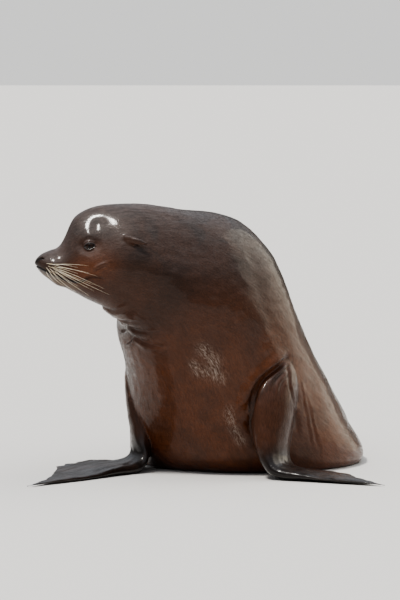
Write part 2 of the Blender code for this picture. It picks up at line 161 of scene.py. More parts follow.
# x, y, z, heading of the front edge, its lift, reach ahead, reach behind, half thickness, taper to the rear
leftForeStations = {
    "shoulder": (0.100, 0.200, 0.400, -130, 0, 0.110, 0.105, 0.075, 0.0),
    "elbow": (0.160, 0.080, 0.285, -130, 0, 0.088, 0.096, 0.072, 0.0),
    "forearm": (0.180, 0.026, 0.185, -125, 0, 0.076, 0.084, 0.058, 0.1),
    "wrist": (0.181, -0.006, 0.082, -118, 0, 0.064, 0.080, 0.044, 0.3),
    "palm": (0.199, -0.026, 0.0275, -114, 0, 0.060, 0.086, 0.028, 0.5),
    "knuckles": (0.255, -0.050, 0.0150, -114, 0, 0.060, 0.092, 0.0190, 0.8),
    "blade": (0.320, -0.085, 0.0100, -118, 0, 0.058, 0.094, 0.0140, 0.9),
    "digits": (0.395, -0.135, 0.0075, -122, 0, 0.046, 0.072, 0.0105, 1.0),
    "tip": (0.472, -0.195, 0.0025, -128, 0, 0.022, 0.040, 0.0040, 1.0),
}

rightForeStations = {
    "shoulder": (-0.050, 0.300, 0.350, -130, 0, 0.080, 0.070, 0.055, 0.0),
    "elbow": (-0.116, 0.262, 0.275, -128, 0, 0.082, 0.088, 0.060, 0.0),
    "forearm": (-0.136, 0.210, 0.180, -120, 0, 0.074, 0.080, 0.054, 0.1),
    "wrist": (-0.142, 0.166, 0.082, -104, 0, 0.062, 0.076, 0.042, 0.3),
    "palm": (-0.166, 0.136, 0.0275, -84, 3, 0.060, 0.086, 0.027, 0.5),
    "knuckles": (-0.222, 0.080, 0.0160, -72, 5, 0.060, 0.092, 0.0190, 0.8),
    "blade": (-0.290, -0.005, 0.0120, -62, 6, 0.058, 0.094, 0.0140, 0.9),
    "digits": (-0.368, -0.110, 0.0085, -56, 4, 0.046, 0.072, 0.0105, 1.0),
    "tip": (-0.448, -0.225, 0.0025, -50, 0, 0.022, 0.040, 0.0040, 1.0),
}


def hindStations(side):
    def station(aside, y, z, inward, reach, behind, thickness):
        front = inward if side > 0 else 180 - inward
        return (bodyStations["rump"][0] + side * aside, y, z, front, 0, reach, behind, thickness, 0)

    return {
        "knee": station(0.010, 0.920, 0.085, -70, 0.065, 0.065, 0.055),
        "ankle": station(0.092, 0.965, 0.062, -95, 0.052, 0.056, 0.046),
        "heel": station(0.135, 0.950, 0.040, -140, 0.045, 0.050, 0.036),
        "sole": station(0.162, 0.885, 0.021, -166, 0.045, 0.045, 0.021),
        "web": station(0.181, 0.800, 0.012, -168, 0.052, 0.052, 0.013),
        "toes": station(0.192, 0.700, 0.005, -166, 0.057, 0.057, 0.005),
    }


skin = {
    "coatDepth": 0.0014,
    "voxel": 0.0025,
    "faces": 190000,
    "bodyAround": 240,
    "bodyStep": 0.0045,
    "limbAround": 120,
    "limbStep": 0.0045,
    "thinnest": 0.0027,
    "noseRounding": 0.024,
    "tailRounding": 0.020,
    "waves": ((0.0008, 3, 24, 4, 11), (0.00025, 4, 30, 18, 40)),  # height, seed, count, cycles a metre
    "sunk": 0.0010,  # so that the waves and the coat stay inside the CAD
}

# back, aside, up, width, height of the soft swellings on each side of the head
swellings = {
    "whiskerPad": (0.044, 0.040, -0.014, 0.022, 0.0085),
    "brow": (0.116, 0.060, 0.078, 0.024, 0.0040),
    "browRidge": (0.128, 0.066, 0.066, 0.014, 0.0030),
    "temple": (0.156, 0.048, 0.098, 0.018, -0.0035),
    "orbit": (0.133, 0.074, 0.043, 0.022, -0.0015),
    "cheek": (0.152, 0.086, -0.004, 0.034, 0.0045),
}


# the mouth's line, back and up, and how much narrower the lower jaw is at its tip
jaw = {
    "line": (
        (-0.030, -0.009), (0.016, -0.015), (0.040, -0.030),
        (0.070, -0.042), (0.100, -0.047), (0.121, -0.039),
    ),
    "narrowing": 0.30,
    "reach": (0.030, 0.130),
    "lip": 0.018,
}


def tuckJaw(points):  # draws the points below the mouth in towards the middle of the head
    away = points - noseTip
    back, left = away @ headBack, away @ headLeft
    below = np.interp(back, *np.transpose(jaw["line"])) - away[..., 2]
    share = jaw["narrowing"] * smooth(0, jaw["lip"], below) * (1 - smooth(*jaw["reach"], back))
    points -= (share * left)[..., None] * headLeft


def signedPower(values, power):
    return np.sign(values) * np.abs(values) ** power


class Tube:
    # A loft along a spine. It has rings of points, and finds any point's place: along, to the side and up.
    def __init__(self, spine, places, around):
        self.spine, self.places, self.angles = spine, places, fullTurn(around)

    def finish(self, rings, owners):
        self.rings = rings
        self.tree = KDTree(rings.shape[0] * rings.shape[1])
        for i, point in enumerate(rings.reshape(-1, 3)):
            self.tree.insert(point, i)
        self.tree.balance()
        self.owners = owners.ravel()  # the place on the spine of each point

    def frameAt(self, places):
        values = self.spine.at(places)
        return (values[:, :3], *self.axes(values, places))

    def locate(self, points):
        start = np.array([self.tree.find(point)[1] for point in points], int)
        at = self.owners[start].copy()
        for _ in range(3):
            middle, along, _, _ = self.frameAt(at)
            at += 0.8 * np.clip(np.sum((points - middle) * along, axis=1), -0.006, 0.006)
            at = np.clip(at, 0, self.spine.length)
        middle, along, side, up = self.frameAt(at)
        away = points - middle
        return np.stack([at, np.sum(away * side, axis=1), np.sum(away * up, axis=1)], axis=1), along


class BodyTube(Tube):
    def axes(self, values, places):
        along = heading(values[:, 3], values[:, 4])
        side = heading(values[:, 3] - 90)
        return along, side, np.cross(side, along)

    def build(self):
        length = self.spine.length
        share = np.clip(self.places / skin["noseRounding"], 0.02, 1)
        tailShare = np.clip((length - self.places) / skin["tailRounding"], 0.02, 1)
        ends = np.sqrt(share * (2 - share) * tailShare * (2 - tailShare))[:, None]
        values = self.spine.at(self.places)
        middle, (_, side, up) = values[:, :3], self.axes(values, self.places)
        width, top, bottom, pear, base = (values[:, i, None] for i in range(5, 10))
        power = np.where(np.sin(self.angles) > 0, 1, base)
        across, rise = signedPower(np.cos(self.angles), power), signedPower(np.sin(self.angles), power)
        inset = skin["coatDepth"]
        height = np.where(rise > 0, top, bottom) * ends - inset
        sideways = across * (1 - pear * rise) * (width * ends - inset)
        spread = sideways[..., None] * side[:, None] + (rise * height)[..., None] * up[:, None]
        rings = middle[:, None] + spread
        for *place, wide, swell in swellings.values():
            for sign in (1, -1):
                away = np.linalg.norm(rings - pairPoint(place, sign), axis=2, keepdims=True)
                rings += swell * bell(away / wide) * unit(spread)
        tuckJaw(rings)
        self.finish(rings, np.repeat(self.places[:, None], len(self.angles), axis=1))
        return self


class LimbTube(Tube):
    def __init__(self, stations, start, reach, digits):
        spine = Spine(stations)
        count = round(spine.length / skin["limbStep"])
        super().__init__(spine, np.linspace(0, spine.length, count), skin["limbAround"])
        self.start, self.reach, self.digits = spine.place[start], reach, digits

    def axes(self, values, places):
        down = self.spine.along(places)
        front = heading(values[:, 3], values[:, 4])
        front = unit(front - down * np.sum(front * down, axis=1)[:, None])
        return down, front, np.cross(front, down)

    def build(self):
        across = np.cos(self.angles + 0.15 * np.sin(2 * self.angles))
        high = signedPower(np.sin(self.angles), 0.8)
        beyond = np.maximum(self.places - self.start, 0)[:, None]
        own = np.minimum(self.places, self.start)[:, None] + beyond * self.reach(across)
        flat = own.ravel()
        values = self.spine.at(flat)
        _, front, over = self.axes(values, flat)
        shape = values.reshape(*own.shape, -1)
        inset = skin["coatDepth"] * (1 - 0.6 * smooth(self.start, self.start + 0.1, own))
        chord = across * (np.where(across > 0, shape[..., 5], shape[..., 6]) - inset)
        thick = shape[..., 7] * (1 - 0.78 * shape[..., 8] * (1 - across) / 2) - inset
        bones = sum(bell((across - at) / self.digits["width"]) for at in self.digits["at"])
        fade = smooth(self.start, self.start + 0.08, own) * (1 - smooth(0.78, 0.99, own / self.spine.length))
        thick = np.maximum(thick + self.digits["height"] * (bones - 0.5) * fade, skin["thinnest"])
        points = shape[..., :3] + chord[..., None] * front.reshape(*own.shape, 3)
        points += (thick * high)[..., None] * over.reshape(*own.shape, 3)
        self.finish(points, own)
        return self


def foreReach(across):  # longest at the front edge, and the rear edge is cut into digits
    behind = (1 - across) / 2
    return 1 - 0.52 * behind**1.15 - 0.006 * (1 - np.cos(2 * math.pi * 4 * behind))


def hindReach(across):  # five lobes, the outer ones the longest
    return 1 - 0.06 * (1 - across**2) - 0.018 * (1 + np.cos(5 * math.pi * (across + 1)))


foreDigits = {"at": (0.82, 0.42, 0.05, -0.30, -0.66), "width": 0.14, "height": 0.0022}
hindDigits = {"at": (0.86, 0.43, 0.0, -0.43, -0.86), "width": 0.13, "height": 0.0026}

# an ear from its root in the neck to its tip: back, aside, up, radius
ears = {
    "stations": (
        (0.206, 0.080, 0.064, 0.0110),
        (0.228, 0.104, 0.060, 0.0100),
        (0.248, 0.117, 0.056, 0.0075),
        (0.268, 0.122, 0.050, 0.0030),
    ),
    "flatness": 0.55,
}


def ringFaces(rows, around, first=0):  # quads between rings, and a fan on the first and the last ring
    index = first + np.arange(rows * around).reshape(rows, around)
    after = np.roll(index, -1, axis=1)
    quads = np.stack([index[:-1], after[:-1], after[1:], index[1:]], axis=-1).reshape(-1, 4).tolist()
    return quads + [index[0][::-1].tolist(), index[-1].tolist()]


def link(obj):
    bpy.context.scene.collection.objects.link(obj)
    return obj


def newObject(name, vertices, faces):
    mesh = bpy.data.meshes.new(name)
    mesh.from_pydata(vertices, [], faces)
    return link(bpy.data.objects.new(name, mesh))


def earRings(side, around=32, rows=40):
    stations = np.array([(*pairPoint(place, side), size) for *place, size in ears["stations"]])
    knots = np.linspace(0, 1, len(stations))
    values = spline(knots, stations, np.linspace(0, 1, rows))
    along = unit(np.gradient(values[:, :3], axis=0))
    across = unit(np.cross(along, headUp))
    over = np.cross(across, along)
    angle = fullTurn(around)[:, None]
    oval = ears["flatness"] * np.cos(angle) * across[:, None] + np.sin(angle) * over[:, None]
    return values[:, None, :3] + values[:, None, 3:] * oval


def makeTubes():
    spine = Spine(bodyStations)
    headEnd = spine.place["poll"]
    places = np.concatenate([
        np.linspace(0, headEnd, round(headEnd / 0.0025), endpoint=False),
        np.linspace(headEnd, spine.length, round((spine.length - headEnd) / skin["bodyStep"])),
    ])
    fore, hind = ("wrist", foreReach, foreDigits), ("heel", hindReach, hindDigits)
    made = {
        "body": BodyTube(spine, places, skin["bodyAround"]),
        "leftFore": LimbTube(leftForeStations, *fore),
        "rightFore": LimbTube(rightForeStations, *fore),
        "leftHind": LimbTube(hindStations(1), *hind),
        "rightHind": LimbTube(hindStations(-1), *hind),
    }
    return {name: tube.build() for name, tube in made.items()}


def evaluated(obj):
    graph = bpy.context.evaluated_depsgraph_get()
    return bpy.data.meshes.new_from_object(obj.evaluated_get(graph))


def unite(shapes):  # one closed surface round all the shapes
    vertices, faces = [], []
    for rings in shapes:
        faces += ringFaces(*rings.shape[:2], first=sum(len(part) for part in vertices))
        vertices.append(rings.reshape(-1, 3))
    obj = newObject("flesh", np.concatenate(vertices), faces)
    remesh = obj.modifiers.new("remesh", "REMESH")
    remesh.mode = "VOXEL"
    remesh.voxel_size = skin["voxel"]
    mesh = evaluated(obj)
    bpy.data.objects.remove(obj)
    return mesh


@contextmanager
def opened(mesh):  # the mesh as a bmesh, written back after the work on it
    work = bmesh.new()
    work.from_mesh(mesh)
    yield work
    work.to_mesh(mesh)
    work.free()


def readAll(items, field, width, kind=np.float32):
    flat = np.empty(width * len(items), kind)
    items.foreach_get(field, flat)
    return flat.reshape(-1, width)


def readPoints(mesh):
    return readAll(mesh.vertices, "co", 3).astype(float)


def writePoints(mesh, points):
    mesh.vertices.foreach_set("co", points.astype(np.float32).ravel())
    mesh.update()


def readNormals(mesh):
    return readAll(mesh.vertex_normals, "vector", 3).astype(float)


def readEdges(mesh):
    return readAll(mesh.edges, "vertices", 2, np.int32)


def setNormals(mesh, normals):
    mesh.normals_split_custom_set_from_vertices([tuple(normal) for normal in normals])


def evenOut(mesh, inwards, outwards, rounds):  # takes out small bumps without shrinking the whole
    points, edges = readPoints(mesh), readEdges(mesh)
    count = len(points)
    near = np.maximum(np.bincount(edges.ravel(), minlength=count), 1)
    for share in (inwards, outwards) * rounds:
        total = np.stack([
            np.bincount(edges[:, 0], points[edges[:, 1], axis], count)
            + np.bincount(edges[:, 1], points[edges[:, 0], axis], count)
            for axis in range(3)
        ], axis=1)
        points = points + share * (total / near[:, None] - points)
    writePoints(mesh, points)


floorRounding = 0.006  # how softly the flesh turns in to the floor
floorGap = 0.0003

viewTilt = math.radians(4)
viewTarget = np.array((0, 0, 0.445)) - floorMiddle
viewAlong = np.array((0.0, math.cos(viewTilt), -math.sin(viewTilt)))

# Creases and folds. A path's points are (back, up) on both sides of the head where seen is "face", (x, z) on
# the front where it is "front", (place, degrees round the body from its left) where it is "round", and
# (back, aside, up) near the head's surface where it is "near". A lip is a ridge beside the crease, on the
# left of the path if sided is 1, and roll moves it over the crease. With both, a front path is on each flank.
# Dark is how much shade is painted along a fold's crease and its lip.
folds = {
    "mouth": {
        "seen": "near", "width": 0.0015, "depth": 0.0032, "lip": 0.0008, "sided": -1, "dark": 1.0,
        "fade": (0.0, 0.018),
        "path": (
            (-0.001, 0.0, -0.01), (-0.001, 0.013, -0.0115), (0.012, 0.033, -0.018), (0.036, 0.05, -0.031),
            (0.07, 0.056, -0.043), (0.1, 0.066, -0.047), (0.121, 0.078, -0.039),
        ),
    },
    "nostril": {
        "seen": "near", "width": 0.0019, "depth": 0.0055, "lip": 0.0009, "sided": -1, "dark": 1.0,
        "fade": (0.006, 0.007),
        "path": (
            (0.003, 0.006, -0.002), (0.008, 0.014, 0.008), (0.015, 0.021, 0.013), (0.022, 0.026, 0.007),
        ),
    },
    "philtrum": {
        "seen": "near", "width": 0.0016, "depth": 0.002, "lip": 0.0, "sided": 1, "dark": 0.8,
        "fade": (0.003, 0.001),
        "path": ((0.0, 0.0, 0.0), (0.0, 0.0, -0.009)),
    },
    "cheekFold": {
        "seen": "face", "width": 0.0034, "depth": 0.0016, "lip": 0.0022, "sided": 1, "dark": 0.35,
        "fade": (0.012, 0.016),
        "path": ((0.138, -0.02), (0.15, -0.012), (0.162, -0.006), (0.176, -0.003)),
    },
    "mouthCorner": {
        "seen": "face", "width": 0.0026, "depth": 0.0026, "lip": 0.0014, "sided": 1, "dark": 0.45,
        "fade": (0.006, 0.02),
        "path": ((0.118, -0.04), (0.13, -0.034), (0.146, -0.033), (0.166, -0.038)),
    },
    "throatRim": {
        "seen": "round", "width": 0.0065, "depth": 0.0036, "lip": 0.003, "sided": -1, "dark": 0.3,
        "waver": 0.35, "fade": (0.06, 0.06),
        "path": ((0.168, -90), (0.172, -82), (0.188, -71), (0.214, -54), (0.24, -40)),
    },
    "throatFold": {
        "seen": "round", "width": 0.006, "depth": 0.0042, "lip": 0.0032, "sided": -1, "dark": 0.3,
        "waver": 0.35, "fade": (0.05, 0.05),
        "path": ((0.277, -90), (0.284, -84), (0.3, -79), (0.318, -73), (0.35, -60)),
    },
    "lowerThroatFold": {
        "seen": "round", "width": 0.006, "depth": 0.0038, "lip": 0.003, "sided": -1, "dark": 0.3,
        "waver": 0.35, "fade": (0.06, 0.06),
        "path": ((0.336, -90), (0.342, -86), (0.356, -82), (0.377, -76), (0.41, -64)),
    },
    "upperThroatFold": {
        "seen": "round", "width": 0.005, "depth": 0.0022, "lip": 0.002, "sided": -1, "dark": 0.3,
        "waver": 0.35, "fade": (0.06, 0.06),
        "path": ((0.226, -90), (0.236, -82), (0.262, -70), (0.29, -58)),
    },
    "axilla": {
        "seen": "front", "width": 0.0085, "depth": 0.0105, "lip": 0.0062, "sided": -1, "dark": 0.3,
        "fade": (0.06, 0.06), "roll": 0.0042,
        "path": (
            (0.2104, 0.302), (0.1864, 0.281), (0.1614, 0.263), (0.1414, 0.245), (0.1264, 0.222),
            (0.1164, 0.195), (0.1114, 0.1575), (0.1114, 0.12),
        ),
    },
    "armWrinkle": {
        "seen": "front", "width": 0.0042, "depth": 0.0024, "lip": 0.0018, "sided": -1, "dark": 0.2,
        "waver": 0.3, "fade": (0.03, 0.04),
        "path": ((0.2134, 0.28), (0.194, 0.262), (0.176, 0.241), (0.166, 0.215)),
    },
    "armWrinkleBelow": {
        "seen": "front", "width": 0.004, "depth": 0.002, "lip": 0.0014, "sided": -1, "dark": 0.15,
        "waver": 0.3, "fade": (0.025, 0.04),
        "path": ((0.2144, 0.262), (0.201, 0.246), (0.188, 0.224), (0.181, 0.198)),
    },
    "armRear": {
        "seen": "front", "width": 0.0075, "depth": 0.003, "lip": 0.0012, "sided": 1, "dark": 0.25,
        "waver": 0.2, "fade": (0.03, 0.04),
        "path": ((0.2064, 0.292), (0.2114, 0.2325), (0.2189, 0.195), (0.2289, 0.145), (0.2339, 0.095)),
    },
    "shoulderLine": {
        "seen": "front", "both": True, "width": 0.026, "depth": 0.0022, "lip": 0.0006, "sided": -1,
        "dark": 0.06, "fade": (0.16, 0.04),
        "path": (
            (0.0864, 0.64), (0.1139, 0.575), (0.1264, 0.515), (0.1414, 0.445), (0.1764, 0.365),
            (0.2064, 0.308),
        ),
    },
    "flankLine": {
        "seen": "front", "both": True, "width": 0.0055, "depth": 0.0008, "lip": 0.001, "sided": 1,
        "dark": 0.1, "waver": 0.25, "fade": (0.04, 0.05),
        "path": ((0.236, 0.25), (0.2489, 0.18), (0.262, 0.115), (0.274, 0.05)),
    },
    "flankLineBehind": {
        "seen": "front", "both": True, "width": 0.005, "depth": 0.0008, "lip": 0.0009, "sided": 1,
        "dark": 0.1, "waver": 0.25, "fade": (0.04, 0.04),
        "path": ((0.25, 0.215), (0.266, 0.15), (0.281, 0.09), (0.292, 0.04)),
    },
}

# the lids' folds: how far from the opening, how deep, whether on the upper lid
eyes = {
    "place": (0.133, 0.0560, 0.043),
    "radius": 0.0174,
    "forward": 14.0,
    "tilt": 9.0,
    "halfWidth": 0.0136,
    "upper": 0.0066,
    "lower": 0.0064,
    "ride": 0.0012,
    "rim": 0.0007,
    "pocket": 0.0042,
    "cover": 0.0006,
    "reach": 0.022,
    "folds": ((0.0052, 0.0011, True), (0.0040, 0.0006, False), (0.0085, 0.0007, False)),
}


# every fold's shape, in widths of its crease, and how closely its path is followed
foldShape = {"reach": 4.5, "lipPlace": 1.9, "lipWidth": 1.25, "step": 0.0015, "fewest": 8, "round": 140}
clear = {"side": 0.3, "front": 3}  # from where the folds and whiskers are cast onto the skin


def ripple(points, seed, count, low, high):  # soft waves of low to high cycles a metre
    random = np.random.default_rng(seed)
    waves = unit(random.normal(size=(count, 3))) * random.uniform(low, high, (count, 1)) * 2 * math.pi
    starts = random.uniform(0, 2 * math.pi, count)
    return np.sin(points @ waves.T + starts).sum(axis=1) * math.sqrt(2 / count)


def castOnto(tree, origin, along):
    place, normal, _, _ = tree.ray_cast(Vector(origin), Vector(along))
    return None if place is None else (np.array(place), np.array(normal))


def castSideways(tree, back, sign, up):
    return castOnto(tree, headPoint(back, clear["side"] * sign, up), -sign * headLeft)


def nearOn(tree, point):
    place, normal, _, _ = tree.find_nearest(Vector(point))
    return np.array(place), np.array(normal)


def onSection(tree, far, aside, high):  # on the skin, beside a place in the body's section
    middle, _, side, up = (value[0] for value in tubes["body"].frameAt(np.array([far])))
    return nearOn(tree, middle + aside * side + high * up)


def foldPath(fold, sign, tree):
    guide = np.array(fold["path"], float)
    if fold["seen"] == "round":
        guide = np.concatenate([(guide * (1, -1) - (0, 180))[:0:-1], guide])
    knots = runsOf(guide)
    count = max(foldShape["fewest"], round(knots[-1] / foldShape["step"]))
    if fold["seen"] == "round":
        count = foldShape["round"]
    places = spline(knots, guide, np.linspace(0, knots[-1], count))
    found = []
    for place in places:
        if fold["seen"] == "face":
            found.append(castSideways(tree, place[0], sign, place[1]))
        elif fold["seen"] == "front":
            origin = np.array((place[0], viewTarget[1], place[1])) - clear["front"] * viewAlong
            hit = castOnto(tree, origin, viewAlong)
            if hit and sign < 0:
                (far, aside, high), _ = (value[0] for value in tubes["body"].locate(hit[0][None]))
                hit = onSection(tree, far, -aside, high)
            found.append(hit)
        elif fold["seen"] == "round":
            angle = math.radians(place[1])
            width, bottom = tubes["body"].spine.at(place[:1])[0, [5, 7]]
            found.append(onSection(tree, place[0], width * math.cos(angle), bottom * math.sin(angle)))
        else:
            found.append(nearOn(tree, pairPoint(place, sign)))
    found = [hit for hit in found if hit]
    return np.array([hit[0] for hit in found]), np.array([hit[1] for hit in found])


def carve(points, normals, fold, sign, tree, batch=4000):
    # the fold's shift of every point, and how near each is to the crease, from 0 to 1
    path, facing = foldPath(fold, sign, tree)
    reach = foldShape["reach"] * fold["width"]
    low, high = path.min(0) - reach, path.max(0) + reach
    chosen = np.flatnonzero(np.all((points > low) & (points < high), axis=1))
    shift, nearness = np.zeros((len(chosen), 3)), np.zeros(len(chosen))
    tangent = unit(np.gradient(path, axis=0))
    lengths = runsOf(path)
    for first in range(0, len(chosen), batch):
        part = chosen[first : first + batch]
        gap = np.linalg.norm(points[part, None] - path[None], axis=2)
        nearest = gap.argmin(axis=1)
        away = points[part] - path[nearest]
        out = facing[nearest]
        across = unit(np.cross(out, tangent[nearest])) * sign
        waver = ripple(points[part], 9, 16, 10, 28) * fold.get("waver", 0)
        aside = np.sum(away * across, axis=1) / fold["width"] + 0.7 * waver
        along = lengths[nearest] + np.sum(away * tangent[nearest], axis=1)
        start, end = fold["fade"]
        fade = smooth(-0.3 * start - 1e-6, start, along)
        fade = fade * smooth(-0.3 * end - 1e-6, end, lengths[-1] - along)
        fade *= smooth(0.0, 0.5, np.sum(normals[part] * out, axis=1)) * (gap.min(axis=1) < reach)
        fade *= np.clip(1 + 0.5 * waver, 0, 1.5)
        ridge = bell((aside - foldShape["lipPlace"] * fold["sided"]) / foldShape["lipWidth"]) * fade
        groove = bell(aside) * fade
        rise = fold["lip"] * ridge - fold["depth"] * groove
        roll = fold.get("roll", 0) * ridge * -fold["sided"]
        shift[first : first + batch] = rise[:, None] * normals[part] + roll[:, None] * across
        nearness[first : first + batch] = np.maximum(groove, ridge)
    return chosen, shift, nearness


def refine(mesh, centres):  # splits the faces near the centres, each a place and its radius
    with opened(mesh) as work:
        for centre, radius in centres:
            centre = Vector(centre)
            near = {vert for vert in work.verts if (vert.co - centre).length < radius}
            faces = [face for face in work.faces if near.issuperset(face.verts)]
            edges = list({edge for face in faces for edge in face.edges})
            bmesh.ops.subdivide_edges(work, edges=edges, cuts=1, use_grid_fill=True)
            bmesh.ops.triangulate(work, faces=[face for face in work.faces if len(face.verts) > 4])


def eyeAxes(sign):
    forward, outward = -headBack, sign * headLeft
    turn, tip = math.radians(eyes["forward"]), math.radians(eyes["tilt"])
    axis = unit(math.cos(turn) * outward + math.sin(turn) * forward)
    fore = unit(forward - axis * np.dot(forward, axis))
    return axis, math.cos(tip) * fore - math.sin(tip) * headUp, math.cos(tip) * headUp + math.sin(tip) * fore


def fromLids(across, high):  # distance outside the almond between the lids, below 0 inside it
    wide = eyes["halfWidth"]
    share = 1 - np.clip(np.abs(across) / wide, 0, 1) ** 2.2
    gap = np.maximum(high - eyes["upper"] * share**0.8, -eyes["lower"] * share**0.9 - high)
    beyond = np.maximum(np.abs(across) - wide, 0)
    return np.where((gap > 0) | (beyond > 0), np.hypot(beyond, np.maximum(gap, 0)), gap)


def shapeLids(points, sign):
    centre = pairPoint(eyes["place"], sign)
    axis, fore, up = eyeAxes(sign)
    away = points - centre
    far = np.linalg.norm(away, axis=1)
    chosen = np.flatnonzero((far < 0.04) & (away @ axis > 0.1 * far))
    away, far = away[chosen], far[chosen]
    lidRadius, wide = eyes["radius"] + eyes["ride"], eyes["halfWidth"]
    across, high = away @ fore / far * lidRadius, away @ up / far * lidRadius
    gap = fromLids(across, high)
    lid = lidRadius + eyes["rim"] * bell((gap - 0.0011) / 0.0012)
    above, ends = smooth(-0.001, 0.003, high), smooth(wide * 1.2, wide * 0.7, np.abs(across))
    for place, depth, upper in eyes["folds"]:
        lid -= depth * (above if upper else 1 - above) * bell((gap - place) / 0.0011) * ends
    openness = smooth(-0.0009, 0.0005, gap)
    lid = (eyes["radius"] - eyes["pocket"]) * (1 - openness) + lid * openness
    beside = fromLids(away @ fore, away @ up)
    blend = smooth(0.002, eyes["reach"], beside)
    cover = lidRadius + eyes["cover"]  # the skin round the lids stays outside this
    far = 0.5 * (far + cover + np.sqrt((far - cover) ** 2 + 0.002**2))
    points[chosen] = centre + unit(away) * (lid * (1 - blend) + far * blend)[:, None]
    return chosen, 1 - smooth(0.0012, 0.0120, np.maximum(gap, beside))


def settle(points):  # flattens what would be below the floor
    high, soft = points[:, 2], floorRounding
    rounded = np.where(high < -soft, 0, (high + soft) ** 2 / (4 * soft))
    points[:, 2] = np.where(high > soft, high, rounded) + floorGap


whiskers = {
    "rows": (-0.001, -0.006, -0.011, -0.016, -0.021),
    "columns": 5,
    "first": 0.025,
    "step": 0.0078,
    "shortest": 0.036,
    "longest": 0.150,
    "sizes": {"Root": 0.00054, "Tip": 0.15, "Around": 5},
    "points": 15,
    "dimple": (0.0013, 0.0005),
    "sunk": 0.001,
    "seed": 5,
}


def whiskerRoots(tree, sign):  # each with its place, the skin's normal, its row and its column, from 0 to 1
    random = np.random.default_rng(whiskers["seed"] + sign)
    rows, columns = whiskers["rows"], whiskers["columns"]
    found = []
    for row, up in enumerate(rows):
        for column in range(columns - (row in (0, len(rows) - 1))):
            even = whiskers["first"] + (column + 0.5 * (row % 2)) * whiskers["step"]
            back = even + random.normal(0, 0.0006)
            high = up - 0.10 * (back - whiskers["first"]) + random.normal(0, 0.0005)
            place, normal = castSideways(tree, back, sign, high)
            found.append((place, normal, row / (len(rows) - 1), column / (columns - 1)))
    return found


def storeFloats(mesh, name, values, domain="POINT"):
    kinds = {1: ("FLOAT", "value"), 2: ("FLOAT2", "vector"), 3: ("FLOAT_VECTOR", "vector")}
    kind, field = kinds[1 if values.ndim == 1 else values.shape[1]]
    attribute = mesh.attributes.new(name, kind, domain)
    attribute.data.foreach_set(field, values.astype(np.float32).ravel())


def takeFloats(mesh, name, width=1):
    values = readAll(mesh.attributes[name].data, "value" if width == 1 else "vector", width)
    mesh.attributes.remove(mesh.attributes[name])
    return (values.ravel() if width == 1 else values).astype(float)


def thin(mesh, kept, faces):  # fewer faces, with the kept points left alone and the shading carried over
    storeFloats(mesh, "facing", readNormals(mesh))
    obj = link(bpy.data.objects.new("thin", mesh))
    free = obj.vertex_groups.new(name="free")
    free.add(np.flatnonzero(~kept).tolist(), 1.0, "REPLACE")
    decimate = obj.modifiers.new("thin", "DECIMATE")
    decimate.ratio = faces / sum(len(face.vertices) - 2 for face in mesh.polygons)
    decimate.vertex_group = "free"
    decimate.use_collapse_triangulate = True
    result = evaluated(obj)
    if "free" in result.attributes:
        result.attributes.remove(result.attributes["free"])
    bpy.data.objects.remove(obj)
    return result


def dropCrumbs(mesh):  # leaves only the largest connected surface
    edges = readEdges(mesh)
    label, before = np.arange(len(mesh.vertices)), None
    while before is None or not np.array_equal(label, before):
        before = label.copy()
        np.minimum.at(label, edges.ravel(), np.repeat(label[edges].min(axis=1), 2))
        label = label[label]
    crumbs = np.flatnonzero(label != np.bincount(label).argmax())
    with opened(mesh) as work:
        work.verts.ensure_lookup_table()
        bmesh.ops.delete(work, geom=[work.verts[i] for i in crumbs], context="VERTS")


tubes = makeTubes()
print("tubes lofted")
fleshMesh = unite([*(tube.rings for tube in tubes.values()), earRings(1), earRings(-1)])
print("flesh united:", len(fleshMesh.vertices), "points")

evenOut(fleshMesh, 0.6, -0.62, 7)
# round the muzzle, and on each side round the eye, the corner of the mouth, the ear and the nostril
zones = [(headPoint(0.06, 0, -0.005), 0.085)]
fineZones = [(eyes["place"], 0.045), (eyes["place"], 0.029), ((0.145, 0.08, -0.025), 0.035)]
fineZones += [((0.236, 0.108, 0.060), 0.042), ((0.012, 0.017, 0.006), 0.016)]
for sign in (1, -1):
    zones += [(pairPoint(place, sign), radius) for place, radius in fineZones]
refine(fleshMesh, zones)
evenOut(fleshMesh, 0.5, -0.52, 3)
print("face refined:", len(fleshMesh.vertices), "points")

flesh = link(bpy.data.objects.new("fleshGuide", fleshMesh))
bpy.context.view_layer.update()
tree = BVHTree.FromObject(flesh, bpy.context.evaluated_depsgraph_get())
points, normals = readPoints(fleshMesh), readNormals(fleshMesh)
paintedShade, kept = np.zeros(len(points)), np.zeros(len(points), bool)
shift = np.zeros_like(points)
# painted shade: each fold darkens its crease and the lip beside it by its dark share
for fold in folds.values():
    for sign in (1, -1) if fold["seen"] in ("face", "near") or "both" in fold else (1,):
        chosen, moved, nearness = carve(points, normals, fold, sign, tree)
        shift[chosen] += moved
        paintedShade[chosen] = np.maximum(paintedShade[chosen], fold["dark"] * nearness)
        if fold["seen"] in ("face", "near"):
            kept[chosen] |= nearness > 0.25
onFace = np.linalg.norm(points - headPoint(0.10, 0, 0.03), axis=1)
calm = 0.25 + 0.75 * smooth(0.10, 0.30, onFace)
waves = sum(height * ripple(points, *wave) for height, *wave in skin["waves"])
shift += ((waves - skin["sunk"]) * calm)[:, None] * normals
roots = {sign: whiskerRoots(tree, sign) for sign in (1, -1)}
padTree = KDTree(sum(len(rows) for rows in roots.values()))
for i, root in enumerate(roots[1] + roots[-1]):
    padTree.insert(root[0], i)
padTree.balance()
near = np.flatnonzero(onFace < 0.14)
gap = np.array([padTree.find(point)[2] for point in points[near]])
wide, depth = whiskers["dimple"]
dimple = bell(gap / wide)
shift[near] -= (depth * dimple)[:, None] * normals[near]
# painted shade in the whisker dimples
paintedShade[near] = np.maximum(paintedShade[near], 0.75 * dimple)
kept[near] |= gap < 0.0032
points += shift
lid = np.zeros(len(points))
for sign in (1, -1):
    chosen, nearness = shapeLids(points, sign)
    lid[chosen] = np.maximum(lid[chosen], nearness)
kept |= lid > 0.30
settle(points)
writePoints(fleshMesh, points)
fleshMesh.shade_smooth()
